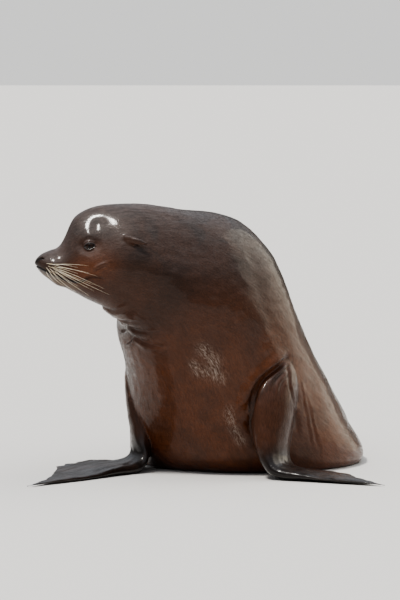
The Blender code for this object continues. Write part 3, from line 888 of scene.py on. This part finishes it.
bpy.data.objects.remove(flesh)
print("flesh sculpted,", int(kept.sum()), "points kept as they are")

storeFloats(fleshMesh, "paintedShade", paintedShade)
storeFloats(fleshMesh, "lid", lid)
skinMesh = thin(fleshMesh, kept, skin["faces"])
dropCrumbs(skinMesh)
skinMesh.name = "sealSkin"
bpy.data.meshes.remove(fleshMesh)
paintedShade, lid = takeFloats(skinMesh, "paintedShade"), takeFloats(skinMesh, "lid")
facing = unit(takeFloats(skinMesh, "facing", 3))
skinMesh.shade_smooth()
setNormals(skinMesh, facing)
points = readPoints(skinMesh)
print("skin thinned:", len(skinMesh.polygons), "faces")


# where each tube lies on the unwrapped skin: left, right, bottom, top
charts = {
    "body": (0.005, 0.995, 0.41, 0.985),
    "leftFore": (0.005, 0.49, 0.215, 0.385),
    "rightFore": (0.51, 0.995, 0.215, 0.385),
    "leftHind": (0.005, 0.49, 0.015, 0.185),
    "rightHind": (0.51, 0.995, 0.015, 0.185),
}
headShare = 0.30  # of the body's chart
overlap = 0.012  # of a turn, past the line where each chart closes
tubeGap = 0.9  # between the tubes' places along the coat


def spreadOut(points, corners):
    # each face's tube; for its corners, the place, side and up in that tube and the place on the unwrapped
    # skin; and for every point the way along its tube
    gaps = np.array([[tube.tree.find(point)[2] for point in points] for tube in tubes.values()])
    owner = np.median(gaps.argmin(axis=0)[corners], axis=1).astype(int)
    flow, chart = np.zeros((*corners.shape, 3)), np.zeros((*corners.shape, 2))
    lie = np.zeros_like(points)
    for number, name in enumerate(tubes):
        faces = np.flatnonzero(owner == number)
        used, back = np.unique(corners[faces], return_inverse=True)
        at, lie[used] = tubes[name].locate(points[used])
        at = at[back.reshape(-1, 3)]
        flow[faces] = at + (tubeGap * number, 0, 0)
        length = tubes[name].spine.length
        stops = ([0, 0.2, length], [0, headShare, 1]) if name == "body" else ([0, length], [0, 1])
        turned = (np.arctan2(at[..., 2], at[..., 1]) / (2 * math.pi) + 0.25) % 1
        turned += (turned.max(axis=1, keepdims=True) - turned > 0.5) * 1.0
        left, right, bottom, top = charts[name]
        chart[faces, :, 0] = left + (right - left) * np.interp(at[..., 0], *stops)
        chart[faces, :, 1] = bottom + (top - bottom) * np.minimum(turned, 1 + overlap)
    return owner, flow, chart, lie


def around(points, place, radius):  # 1 at a place on the head's left and right, fading over the radius
    gaps = [np.linalg.norm(points - pairPoint(place, sign), axis=1) for sign in (1, -1)]
    return bell(np.minimum(*gaps) / radius)


def alongLine(values, line, radius):  # 1 on a line through the places, fading over the radius
    best = np.full(len(values), np.inf)
    for start, end in zip(line[:-1], line[1:]):
        start, step = np.array(start), np.array(end) - np.array(start)
        share = np.clip((values - start) @ step / (step @ step), 0, 1)
        best = np.minimum(best, np.linalg.norm(values - start - share[:, None] * step, axis=1))
    return bell(best / radius)


# painted highlights on the chest, pale patches standing for glints off the wet fur: lines of x and z on the
# front, and how wide they are
paintedGlints = (
    (((-0.005, 0.322), (0.022, 0.292)), 0.016),
    (((0.004, 0.268), (0.036, 0.252)), 0.015),
    (((-0.032, 0.285), (-0.020, 0.266)), 0.010),
    (((0.058, 0.168), (0.066, 0.130), (0.088, 0.090)), 0.011),
    (((-0.200, 0.205), (-0.188, 0.170)), 0.008),
)


def markingsAndPaintedLight(points, normals, owner, places):  # how strong each marking, and each painted shade, sheen, bounce light and highlight, is at every point of the skin
    far, up, ahead = tubes["body"].locate(points)[0][:, 0], normals[:, 2], -normals[:, 1]
    high, onBody = points[:, 2], owner == 0
    profile = np.stack([(points - noseTip) @ headBack, high - noseTip[2]], axis=1)
    back = profile[:, 0]
    bare = np.zeros(len(points))
    for number, name in list(enumerate(tubes))[1:]:
        ends = ("forearm", "palm") if "Fore" in name else ("knee", "heel")
        start, end = (tubes[name].spine.place[stop] for stop in ends)
        bare = np.where(owner == number, smooth(0.4 * start + 0.6 * end, end, places), bare)
    muzzle = np.exp(-((np.linalg.norm(points - headPoint(0.004, 0, 0.002), axis=1) / 0.021) ** 4))
    lips = alongLine(profile, jaw["line"][1:], 0.0035) * (back < 0.125)
    bare = np.maximum.reduce([bare, muzzle, 0.8 * lips, smooth(0.80, 0.97, lid)])
    along = (points[:, 1] - viewTarget[1]) / viewAlong[1]
    front = np.stack([points[:, 0], high - along * viewAlong[2]], axis=1)
    # painted highlights, only where the chest faces forwards
    paintedGlint = sum(alongLine(front, line, wide) for line, wide in paintedGlints) * smooth(0.1, 0.5, ahead) * onBody
    chinLine = ((0.022, -0.030), (0.050, -0.044), (0.095, -0.058))
    golden = alongLine(profile, chinLine, 0.011) * (back > 0) * (back < 0.14)
    # warm reddish brown: the coat's own tone on the cheeks and limbs, and painted warm bounce light on the
    # lower chest and on the throat where it faces down
    lower = smooth(0.62, 0.26, high) * smooth(-0.2, 0.5, ahead) * onBody
    lower = np.maximum(lower, 0.8 * bell((far - 0.33) / 0.14) * smooth(0.3, -0.4, up) * onBody)
    cheek = around(points, (0.150, 0.085, 0.000), 0.050)
    cheek = cheek + 0.8 * around(points, (0.108, 0.060, -0.020), 0.030)
    warmAndBounce = np.clip(0.75 * lower + 0.6 * cheek + 0.35 * (owner > 0) * (1 - bare), 0, 1)
    # pale grey, partly the coat's own paler crown and partly painted sheen: lighter where the skin faces up,
    # and on the top of the muzzle and the whisker pads
    ashAndSheen = smooth(-0.15, 0.85, up) * (1 - 0.8 * smooth(0.20, 0.45, far)) * onBody * (1 - 0.4 * muzzle)
    ashAndSheen = np.maximum(ashAndSheen, 0.9 * around(points, (0.046, 0.022, 0.022), 0.026))
    ashAndSheen = np.maximum(ashAndSheen, 0.6 * around(points, (0.046, 0.044, -0.014), 0.018))
    # painted shade: the armpit, the underside of the neck where it faces down, and the forward-facing side of
    # the neck and shoulder are darkened
    armpitLine = ((0.19, 0.27), (0.12, 0.19), (0.112, 0.02))
    shade = np.clip(paintedShade + 0.4 * alongLine(front, armpitLine, 0.014), 0, 1)
    shade = np.maximum(shade, 0.55 * bell((far - 0.31) / 0.075) * smooth(0.6, 0.0, up) * onBody)
    neckLine = ((0.105, 0.540), (0.150, 0.420), (0.115, 0.330))
    side = alongLine(front, neckLine, 0.050) * onBody
    shade = np.maximum(shade, 0.38 * side * smooth(-0.1, 0.4, ahead))
    shown = {"bare": bare, "paintedGlint": np.clip(paintedGlint, 0, 1), "golden": golden}
    return {**shown, "warmAndBounce": warmAndBounce, "ashAndSheen": ashAndSheen, "paintedShade": shade}


corners = readAll(skinMesh.loops, "vertex_index", 1, np.int32).reshape(-1, 3)
owner, flow, chart, lie = spreadOut(points, corners)
pointOwner, pointPlace = np.zeros(len(points), int), np.zeros(len(points))
pointOwner[corners.ravel()] = np.repeat(owner, 3)
pointPlace[corners.ravel()] = (flow[..., 0] - tubeGap * owner[:, None]).ravel()
lie = unit(lie - facing * np.sum(lie * facing, axis=1)[:, None])
markAndLightMasks = markingsAndPaintedLight(points, facing, pointOwner, pointPlace)
for name, values in markAndLightMasks.items():
    storeFloats(skinMesh, name, values)
storeFloats(skinMesh, "flow", flow.reshape(-1, 3), "CORNER")
storeFloats(skinMesh, "lie", lie)
skinMesh.uv_layers.new(name="OFBake")
skinMesh.uv_layers["OFBake"].uv.foreach_set("vector", chart.astype(np.float32).ravel())
print("skin marked")


class Wire:
    # A node's socket that can be added, multiplied and so on with others and with numbers.
    def __init__(self, graph, socket):
        self.graph, self.socket = graph, socket

    def maths(self, operation, left, right):
        return self.graph.node("Math", {"operation": operation}, {0: left, 1: right})

    def __add__(self, other):
        return self.maths("ADD", self, other)

    def __radd__(self, other):
        return self.maths("ADD", other, self)

    def __sub__(self, other):
        return self.maths("SUBTRACT", self, other)

    def __rsub__(self, other):
        return self.maths("SUBTRACT", other, self)

    def __mul__(self, other):
        return self.maths("MULTIPLY", self, other)

    def __rmul__(self, other):
        return self.maths("MULTIPLY", other, self)

    def __pow__(self, other):
        return self.maths("POWER", self, other)


class Graph:
    # A tree of nodes joined by wires.
    def __init__(self, tree):
        self.tree = tree

    def plug(self, socket, value):
        if isinstance(value, Wire):
            self.tree.links.new(value.socket, socket)
        else:
            socket.default_value = value

    def node(self, kind, settings=None, sockets=None, output=0):
        node = self.tree.nodes.new(kind if "Node" in kind else "ShaderNode" + kind)
        for name, value in (settings or {}).items():
            setattr(node, name, value)
        for name, value in (sockets or {}).items():
            self.plug(node.inputs[name], value)
        return Wire(self, node.outputs[output])

    def vectors(self, operation, left, right):
        second = 3 if operation == "SCALE" else 1
        return self.node("VectorMath", {"operation": operation}, {0: left, second: right})

    def step(self, value, low, high, start=0.0, end=1.0):  # start below low, end above high
        sockets = {"Value": value, "From Min": low, "From Max": high, "To Min": start, "To Max": end}
        return self.node("MapRange", {"interpolation_type": "SMOOTHSTEP"}, sockets)

    def mix(self, factor, first, second):
        return self.node("Mix", {"data_type": "RGBA"}, {0: factor, 6: first, 7: second}, 2)


class Finish(Graph):
    # A material built up from nodes, ending in its Principled shader.
    def __init__(self, name, **surface):
        self.material = bpy.data.materials.new(name)
        self.material.use_nodes = True
        super().__init__(self.material.node_tree)
        self.end(**surface)

    def place(self):  # places on the piece itself
        return self.node("TexCoord", output=3)

    def mark(self, name):  # a value that the mesh carries
        return self.node("Attribute", {"attribute_name": name}, output=2)

    def along(self, scale):  # places along the coat, drawn out by the scale
        return self.vectors("MULTIPLY", self.node("Attribute", {"attribute_name": "flow"}, output=1), scale)

    def noise(self, vector, scale, detail=2.0, roughness=0.5, distortion=0.0):
        sockets = {"Scale": scale, "Detail": detail, "Roughness": roughness, "Distortion": distortion}
        return self.node("TexNoise", None, {"Vector": vector, **sockets})

    def bump(self, strength, distance, height):
        return self.node("Bump", None, {"Strength": strength, "Distance": distance, "Height": height})

    def end(self, **sockets):
        for socket, value in sockets.items():
            self.plug(self.tree.nodes["Principled BSDF"].inputs[socket.replace("_", " ")], value)
        return self.material


def tone(red, green, blue):  # a colour as it is seen, in 255 steps, as light
    shares = np.array((red, green, blue)) / 255
    light = np.where(shares <= 0.04045, shares / 12.92, ((shares + 0.055) / 1.055) ** 2.4)
    return (*(float(share) for share in light), 1.0)


coatTones = {
    "brown": tone(48, 30, 21),
    "dark": tone(26, 17, 13),
    # warm reddish brown, also used as painted bounce light from below
    "warmAndBounce": tone(98, 53, 25),
    # pale grey, partly the coat's own tone and partly painted sheen on upward-facing skin
    "ashAndSheen": tone(80, 68, 63),
    "golden": tone(100, 78, 55),
    "bare": tone(22, 16, 14),
    "bareEdge": tone(42, 29, 23),
    # pale grey of the painted highlights on the chest
    "paintedGlint": tone(172, 160, 148),
    # painted shade: near black laid into the creases, the armpit and under the neck
    "paintedShade": tone(10, 6, 5),
}


def coatFinish():
    finish = Finish(
        "wetCoat",
        IOR=1.29,
        Coat_Roughness=0.13,
        Coat_IOR=1.31,
        Sheen_Weight=0.015,
        Sheen_Roughness=0.35,
        Sheen_Tint=tone(190, 180, 176),
    )
    place = finish.place()
    clump = finish.noise(finish.along((22.0, 150.0, 150.0)), 1.0, 2.0, 0.55, 0.4)
    hair = finish.noise(finish.along((75.0, 720.0, 720.0)), 1.0, 2.0, 0.6)
    fine = finish.noise(finish.along((260.0, 2300.0, 2300.0)), 1.0, 1.0, 0.5)
    mottle = finish.noise(place, 14.0, 3.0, 0.55, 0.6)
    grain = finish.noise(place, 420.0, 2.0, 0.7)
    bare, paintedGlint, paintedShade = finish.mark("bare"), finish.mark("paintedGlint"), finish.mark("paintedShade")
    furry = 1 - bare
    colour = finish.mix(finish.step(mottle, 0.36, 0.66), coatTones["brown"], coatTones["dark"])
    # warm tone, partly the coat's own and partly painted bounce light on the lower chest and throat
    warmthAndBounce = finish.mark("warmAndBounce") * finish.step(mottle + 0.25 * clump, 0.42, 0.78, 0.55, 1.0)
    colour = finish.mix(warmthAndBounce, colour, coatTones["warmAndBounce"])
    # pale grey, partly real and partly painted sheen on the upper surfaces and the muzzle
    ashenAndSheen = finish.mark("ashAndSheen") * finish.step(clump, 0.3, 0.7, 0.30, 0.62)
    colour = finish.mix(ashenAndSheen, colour, coatTones["ashAndSheen"])
    golden = finish.mark("golden") * finish.step(hair, 0.35, 0.6, 0.30, 0.7)
    colour = finish.mix(golden, colour, coatTones["golden"])
    colour = finish.vectors("SCALE", colour, finish.step(hair, 0.3, 0.72, 0.72, 1.35))
    hide = finish.mix(finish.step(mottle, 0.45, 0.72), coatTones["bare"], coatTones["bareEdge"])
    colour = finish.mix(bare, colour, hide)
    # painted highlights: pale streaky patches on the chest, made rougher and with less coat
    glintShare = paintedGlint * finish.step(hair + 0.35 * clump, 0.60, 0.90, 0.0, 0.85)
    colour = finish.mix(glintShare, colour, coatTones["paintedGlint"])
    # painted shade darkens the coat towards near black in the creases, the armpit and under the neck
    colour = finish.mix(finish.step(paintedShade, 0.1, 0.95, 0.0, 0.85), colour, coatTones["paintedShade"])
    rough = finish.step(mottle, 0.35, 0.7, 0.36, 0.50) + 0.10 * hair - 0.10 * bare + 0.25 * glintShare
    wet = finish.step(clump + 0.6 * mottle, 0.62, 1.0, 0.50, 0.85) * (1 - 0.8 * glintShare)
    wrinkle = finish.noise(finish.along((160.0, 60.0, 60.0)), 1.0, 3.0, 0.6, 0.5)
    height = (0.55 * clump + 0.30 * hair + 0.12 * fine + 0.06 * grain) * furry
    height = height + (0.8 * wrinkle + 0.10 * grain) * bare
    bump = finish.bump(0.85, 0.0020, height)
    return finish.end(Base_Color=colour, Roughness=rough, Coat_Weight=wet, Normal=bump)


coat = coatFinish()
skinMesh.materials.clear()
skinMesh.materials.append(coat)
seal = link(bpy.data.objects.new("sealSkin", skinMesh))
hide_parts(*[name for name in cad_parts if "eye" not in name and "claw" not in name])
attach(seal, "root")


class Growth(Graph):
    # A Geometry Nodes tree with named inputs, run on a mesh and turned into a plain piece.
    def __init__(self, name, inputs):
        super().__init__(bpy.data.node_groups.new(name, "GeometryNodeTree"))
        self.tree.interface.new_socket("Geometry", in_out="OUTPUT", socket_type="NodeSocketGeometry")
        self.sockets = {}
        for title, kind in {"Geometry": "Geometry", **inputs}.items():
            socket = self.tree.interface.new_socket(title, in_out="INPUT", socket_type="NodeSocket" + kind)
            self.sockets[title] = socket.identifier
        self.start = self.tree.nodes.new("NodeGroupInput")
        self.finish = self.tree.nodes.new("NodeGroupOutput")

    def given(self, title):
        return Wire(self, self.start.outputs[title])

    def carried(self, name, kind="FLOAT"):  # an attribute of the mesh
        return self.node("GeometryNodeInputNamedAttribute", {"data_type": kind}, {"Name": name})

    def store(self, geometry, name, value, kind="FLOAT_VECTOR", domain="POINT"):
        sockets = {"Geometry": geometry, "Name": name, "Value": value}
        return self.node("GeometryNodeStoreNamedAttribute", {"data_type": kind, "domain": domain}, sockets)

    def random(self, low, high, seed):
        return self.node("FunctionNodeRandomValue", None, {2: low, 3: high, 8: seed}, 1)

    def end(self, geometry):
        realized = self.node("GeometryNodeRealizeInstances", None, {0: geometry})
        done = self.node("GeometryNodeSetMaterial", None, {0: realized, 2: self.given("Finish")})
        self.plug(self.finish.inputs[0], done)
        return self

    def grow(self, name, mesh, **values):
        host = link(bpy.data.objects.new(name + "Host", mesh))
        modifier = host.modifiers.new("grow", "NODES")
        modifier.node_group = self.tree
        for title, value in values.items():
            modifier[self.sockets[title]] = value
        result = evaluated(host)
        bpy.data.objects.remove(host)
        result.shade_smooth()
        return link(bpy.data.objects.new(name, result))


# the tufts of each region: its last place on the body, how many to a square metre
tufts = {
    "regions": {
        "headTufts": ("poll", 95000),
        "neckTufts": ("withers", 52000),
        "shoulderTufts": ("breast", 40000),
        "chestTufts": ("waist", 38000),
        "flankTufts": ("loin", 36000),
        "rumpTufts": ("tailTip", 34000),
        "limbTufts": (None, 34000),
    },
    "sizes": {"Width": 0.0009, "Lift": 0.045, "Spread": 0.16, "Patch": 0.003},
    "lengths": (0.0035, 0.0075, 0.009),  # on the nose, how much longer on the trunk, on the limbs
    "bareTail": (1.69, 1.72),
    "flatness": 0.32,
    "ownShade": 0.16,
    "seed": 11,
}


def tuftLeaf():  # one closed lock, a metre long and wide, with its root at the origin
    behind = 0.08  # how far the lock starts inside the skin
    vertices = [(-behind, 0, -0.3), (0.33, 0.5, 0), (0.28, 0, 0.5), (0.33, -0.5, 0), (0.33, 0, -0.5)]
    vertices.append((1, 0, 0.08))
    faces = [(0, 2, 1), (0, 3, 2), (0, 4, 3), (0, 1, 4), (5, 1, 2), (5, 2, 3), (5, 3, 4), (5, 4, 1)]
    leaf = newObject("tuftLeaf", vertices, faces)
    spots = (np.array(vertices)[:, :2] + (behind, 0.5)) / (1 + behind, 1)
    storeFloats(leaf.data, "spot", np.column_stack([spots, np.zeros(len(spots))]))
    return leaf


def tuftGrowth():
    inputs = dict.fromkeys(("Density", "Width", "Lift", "Spread", "Patch"), "Float")
    inputs |= {"Region": "Int", "Seed": "Int", "Leaf": "Object", "Finish": "Material"}
    growth = Growth("tuftGrowth", inputs)
    node, given, vectors = growth.node, growth.given, growth.vectors
    sameRegion = {2: growth.carried("region", "INT"), 3: given("Region")}
    here = node("FunctionNodeCompare", {"data_type": "INT", "operation": "EQUAL"}, sameRegion)
    skinPart = node("GeometryNodeSeparateGeometry", {"domain": "FACE"}, {0: given("Geometry"), 1: here})
    density = growth.carried("growth") * given("Density")
    sockets = {"Mesh": skinPart, "Density": density, "Seed": given("Seed")}
    roots = node("GeometryNodeDistributePointsOnFaces", None, sockets)
    normal = Wire(growth, roots.socket.node.outputs["Normal"])
    roots = growth.store(roots, "home", growth.carried("OFBake", "FLOAT_VECTOR"))
    roots = growth.store(roots, "facing", normal)
    low, high = (vectors("SCALE", (way, way, way), given("Spread")) for way in (-1, 1))
    sockets = {0: low, 1: high, 8: given("Seed")}
    sway = node("FunctionNodeRandomValue", {"data_type": "FLOAT_VECTOR"}, sockets)
    lie = vectors("ADD", growth.carried("lie", "FLOAT_VECTOR"), sway)
    rise = vectors("SUBTRACT", normal, vectors("SCALE", lie, given("Lift") * growth.random(0.4, 1.4, 7)))
    axes = {"primary_axis": "Z", "secondary_axis": "X"}
    turn = node("FunctionNodeAxesToRotation", axes, {0: rise, 1: lie})
    length = growth.carried("tuftLength") * growth.random(0.7, 1.3, 3)
    width = given("Width") * growth.random(0.7, 1.25, 5)
    size = node("CombineXYZ", None, {0: length, 1: width, 2: width * tufts["flatness"]})
    leaf = node("GeometryNodeObjectInfo", None, {"Object": given("Leaf")}, 4)
    sockets = {"Points": roots, "Instance": leaf, "Rotation": turn, "Scale": size}
    placed = node("GeometryNodeInstanceOnPoints", None, sockets)
    placed = node("GeometryNodeRealizeInstances", None, {0: placed})
    spot = vectors("SCALE", growth.carried("spot", "FLOAT_VECTOR"), given("Patch"))
    spot = vectors("ADD", growth.carried("home", "FLOAT_VECTOR"), spot)
    placed = growth.store(placed, "OFBake", spot, "FLOAT2", "CORNER")
    for name in ("home", "spot", "lie", "region", "growth", "tuftLength"):
        placed = node("GeometryNodeRemoveAttribute", None, {"Geometry": placed, "Name": name})
    return growth.end(placed)


def growTufts():
    spine = tubes["body"].spine.place
    stops = [spine[last] for last, _ in tufts["regions"].values() if last]
    region = np.minimum(np.searchsorted(stops, flow[..., 0].mean(axis=1)), len(stops) - 1)
    region = np.where(owner == 0, region, len(stops))
    attribute = skinMesh.attributes.new("region", "INT", "FACE")
    attribute.data.foreach_set("value", region.astype(np.int32))
    onBody = pointOwner == 0
    onHead, longer, onLimbs = tufts["lengths"]
    length = onHead + longer * smooth(0.09, 0.55, pointPlace)
    length = np.where(onBody, length, onLimbs) * (1 - 0.5 * markAndLightMasks["bare"])
    grows = (1 - smooth(0.15, 0.6, markAndLightMasks["bare"])) * smooth(0.010, 0.024, points[:, 2])
    grows *= 1 - smooth(0.5, 0.9, lid)
    grows *= 1 - smooth(*tufts["bareTail"], pointPlace * onBody)
    grows *= 1 - 0.5 * markAndLightMasks["paintedShade"]
    storeFloats(skinMesh, "tuftLength", length)
    storeFloats(skinMesh, "growth", grows)
    growth, leaf = tuftGrowth(), tuftLeaf()
    for number, (name, (_, density)) in enumerate(tufts["regions"].items()):
        values = {"Region": number, "Density": float(density), "Seed": tufts["seed"] + number}
        piece = growth.grow(name, skinMesh, Leaf=leaf, Finish=coat, **values, **tufts["sizes"])
        own, rooted = readNormals(piece.data), takeFloats(piece.data, "facing", 3)
        setNormals(piece.data, unit(rooted + tufts["ownShade"] * own))
        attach(piece, "root")
        print(name, len(piece.data.polygons), "faces")
    bpy.data.objects.remove(leaf)
    for name in ("region", "growth", "tuftLength"):
        skinMesh.attributes.remove(skinMesh.attributes[name])


growTufts()
print("coat grown")


def whiskerLines(sign):  # the run of each whisker: out from the pad, then bending back and down
    random = np.random.default_rng(whiskers["seed"] + 10 + sign)
    outward = sign * headLeft
    lines = []
    for place, normal, row, column in roots[sign]:
        longer = (whiskers["longest"] - whiskers["shortest"]) * column**1.1 * (0.55 + 0.45 * row)
        length = (whiskers["shortest"] + longer) * random.uniform(0.85, 1.1)
        start = unit(0.70 * normal + (0.55 + 0.4 * column) * headBack - (0.12 + 0.34 * row) * headUp)
        drop = 0.20 + 0.42 * row + random.normal(0, 0.06)
        end = unit(headBack * (0.95 + random.normal(0, 0.05)) + 0.30 * outward - drop * headUp)
        share = np.linspace(0, 1, whiskers["points"])[:, None] ** 0.6
        ways = unit(start * (1 - share) + end * share)
        steps = ways[:-1] * length / (whiskers["points"] - 1)
        first = place - whiskers["sunk"] * normal
        lines.append(np.concatenate([[first], first + np.cumsum(steps, axis=0)]))
    return lines


def whiskerGrowth():
    inputs = {"Root": "Float", "Tip": "Float", "Around": "Int", "Finish": "Material"}
    growth = Growth("whiskerGrowth", inputs)
    curve = growth.node("GeometryNodeMeshToCurve", None, {0: growth.given("Geometry")})
    share, tip = growth.node("GeometryNodeSplineParameter"), growth.given("Tip")
    slim = tip + (1.0 - share**1.3) * (1.0 - tip)
    sockets = {"Resolution": growth.given("Around"), "Radius": growth.given("Root")}
    profile = growth.node("GeometryNodeCurvePrimitiveCircle", None, sockets)
    return growth.end(growth.node("GeometryNodeCurveToMesh", None, {0: curve, 1: profile, 2: slim, 3: True}))


def whiskerFinish():
    finish = Finish("whiskerHorn", IOR=1.54, Coat_Roughness=0.2)
    place = finish.place()
    shade = finish.noise(place, 90.0, 2.0)
    colour = finish.mix(finish.step(shade, 0.3, 0.7), tone(236, 226, 206), tone(204, 188, 158))
    rough = finish.step(shade, 0.3, 0.7, 0.28, 0.42)
    grain = finish.noise(place, 900.0, 1.0)
    bump = finish.bump(0.1, 0.0002, grain)
    return finish.end(Base_Color=colour, Roughness=rough, Normal=bump)


def growWhiskers():
    growth, finish = whiskerGrowth(), whiskerFinish()
    for side, sign in sides.items():
        vertices = np.concatenate(whiskerLines(sign))
        pairs = [(i, i + 1) for i in range(len(vertices) - 1) if (i + 1) % whiskers["points"]]
        mesh = bpy.data.meshes.new(side + "WhiskerLines")
        mesh.from_pydata(vertices, pairs, [])
        name = side + "Whiskers"
        piece = growth.grow(name, mesh, Finish=finish, **whiskers["sizes"])
        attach(piece, "root")
        print(name, len(piece.data.polygons), "faces")


growWhiskers()


def loftPiece(name, rings, finish):
    piece = newObject(name, rings.reshape(-1, 3), ringFaces(*rings.shape[:2]))
    with opened(piece.data) as work:
        bmesh.ops.recalc_face_normals(work, faces=work.faces)
    piece.data.shade_smooth()
    piece.data.materials.append(finish)
    return piece


ball = {"radius": 0.0172, "cornea": 0.0010, "corneaWide": 0.46, "rows": 64, "around": 72}


def eyeFinish():
    finish = Finish("eyeBall", IOR=1.36, Roughness=0.08)
    place = finish.place()
    gaze = finish.mark("gaze")
    fibres = finish.noise(place, 700.0, 3.0, 0.6, 1.0)
    iris = finish.mix(finish.step(fibres, 0.35, 0.65), tone(44, 24, 12), tone(20, 11, 7))
    iris = finish.mix(finish.step(gaze, 0.50, 0.66), iris, tone(8, 5, 4))
    white = finish.mix(finish.step(fibres, 0.4, 0.7), tone(70, 52, 44), tone(48, 30, 26))
    colour = finish.mix(finish.step(gaze, 0.66, 0.76), iris, white)
    colour = finish.mix(finish.step(gaze, 0.16, 0.24), tone(3, 2, 2), colour)
    bump = finish.bump(0.05, 0.0003, fibres)
    return finish.end(Base_Color=colour, Normal=bump)


def makeEyes():
    finish = eyeFinish()
    for side, sign in sides.items():
        axis, fore, up = eyeAxes(sign)
        turn = np.linspace(0.012, math.pi - 0.012, ball["rows"])[:, None, None]
        turned = fullTurn(ball["around"])[None, :, None]
        size = ball["radius"] + ball["cornea"] * np.exp(-((turn / ball["corneaWide"]) ** 4))
        out = np.cos(turn) * axis + np.sin(turn) * (np.cos(turned) * fore + np.sin(turned) * up)
        piece = loftPiece(side + "EyeBall", pairPoint(eyes["place"], sign) + size * out, finish)
        storeFloats(piece.data, "gaze", np.repeat(turn.ravel(), ball["around"]))
        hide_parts(side + "_eye")
        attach(piece, "root")


makeEyes()

# root and end are how far the claw's middle line starts and stops inside the box of its CAD node
claw = {
    "around": 20,
    "rows": 16,
    "wide": 0.0040,
    "tall": 0.0027,
    "tip": 0.22,
    "bend": 0.0028,
    "toes": 3,
    "root": (0.0043, 0.001, 0.0040),
    "end": (0.0016, 0.0006, 0.0018),
}


def clawFinish():
    finish = Finish("clawHorn", IOR=1.42)
    streaks = finish.noise(finish.vectors("MULTIPLY", finish.place(), (900, 90, 900)), 1.0)
    colour = finish.mix(finish.step(streaks, 0.35, 0.65), tone(20, 16, 14), tone(36, 29, 25))
    rough = finish.step(streaks, 0.3, 0.7, 0.45, 0.60)
    bump = finish.bump(0.25, 0.0003, streaks)
    return finish.end(Base_Color=colour, Roughness=rough, Normal=bump)


def makeClaws():
    finish = clawFinish()
    share = np.linspace(0, 1, claw["rows"])
    angle = fullTurn(claw["around"])
    for side, sign in sides.items():
        for toe in range(1, claw["toes"] + 1):
            node = f"{side}_claw_{toe}"
            low, high = (np.array(corner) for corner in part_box(node))
            inner, outer = (low[0], high[0]) if sign > 0 else (high[0], low[0])
            (aside, behind, lift), (inset, ahead, raised) = claw["root"], claw["end"]
            root = np.array((inner + sign * aside, high[1] - behind, low[2] + lift))
            tip = np.array((outer - sign * inset, low[1] + ahead, root[2] + raised))
            middle = root + (tip - root) * share[:, None]
            middle[:, 2] += claw["bend"] * share * (1 - share)
            slim = 1 - (1 - claw["tip"]) * share**1.8
            slim *= np.sqrt(np.clip(share / 0.12, 0.15, 1)) * np.sqrt(np.clip((1 - share) / 0.06, 0.2, 1))
            ridge = 1 + 0.10 * np.cos(angle - math.pi / 2) ** 8
            across = claw["wide"] * slim[:, None] * np.cos(angle)
            rise = claw["tall"] * slim[:, None] * np.sin(angle) * ridge
            rings = middle[:, None] + across[..., None] * (1, 0, 0) + rise[..., None] * (0, 0, 1)
            piece = loftPiece(f"{side}Claw{toe}", rings, finish)
            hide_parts(node)
            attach(piece, "root")


makeClaws()
print("eyes, whiskers and claws made")

studio = {
    "sun": 3.2,
    "sunWidth": 8.0,
    "sunFrom": (-0.33, -0.30, 0.90),
    "warmSun": (1.0, 0.96, 0.90),
    "rim": 1.4,
    "rimWidth": 60.0,
    "rimFrom": (0.80, 0.45, 0.30),
    "rimTint": (1.0, 0.90, 0.74),
    "zenith": (1.05, 1.10, 1.18, 1),
    "horizon": (0.09, 0.08, 0.07, 1),
    "backdrop": (0.80, 0.80, 0.79, 1),
    "floor": (0.60, 0.59, 0.57, 1),
    "floorReach": 60,
}


def addSun(name, strength, width, source, tint):
    data = bpy.data.lights.new(name, "SUN")
    data.energy = strength
    data.angle = math.radians(width)
    data.color = tint
    link(bpy.data.objects.new(name, data)).rotation_euler = Vector(source).to_track_quat("Z", "Y").to_euler()


def addStudio():
    addSun("overhead", studio["sun"], studio["sunWidth"], studio["sunFrom"], studio["warmSun"])
    addSun("rimLight", studio["rim"], studio["rimWidth"], studio["rimFrom"], studio["rimTint"])
    world = bpy.data.worlds.new("studio")
    bpy.context.scene.world = world
    world.use_nodes = True
    sky = Graph(world.node_tree)
    high = sky.node("SeparateXYZ", None, {0: sky.node("TexCoord")}, "Z")
    glow = sky.mix(sky.step(high, -0.05, 0.9), studio["horizon"], studio["zenith"])
    shown = sky.mix(sky.node("LightPath", output="Is Camera Ray"), glow, studio["backdrop"])
    sky.plug(world.node_tree.nodes["Background"].inputs[0], shown)
    reach = studio["floorReach"]
    corners = [(-reach, -reach, 0), (reach, -reach, 0), (reach, reach, 0), (-reach, reach, 0)]
    ground = newObject("floor", corners, [(0, 1, 2, 3)])
    finish = Finish("paleFloor", Base_Color=studio["floor"], Roughness=0.85)
    ground.data.materials.append(finish.material)


addStudio()
bpy.context.scene.view_settings.look = "AgX - Medium High Contrast"

view = {"sensor": 36, "lens": 240, "away": 10}  # millimetres, millimetres, metres

camera = bpy.data.cameras.new("camera")
camera.sensor_fit = "VERTICAL"
camera.sensor_height, camera.lens = view["sensor"], view["lens"]
viewer = link(bpy.data.objects.new("camera", camera))
viewer.location = viewTarget - view["away"] * viewAlong
viewer.rotation_euler = (math.pi / 2 - viewTilt, 0, 0)
bpy.context.scene.camera = viewer
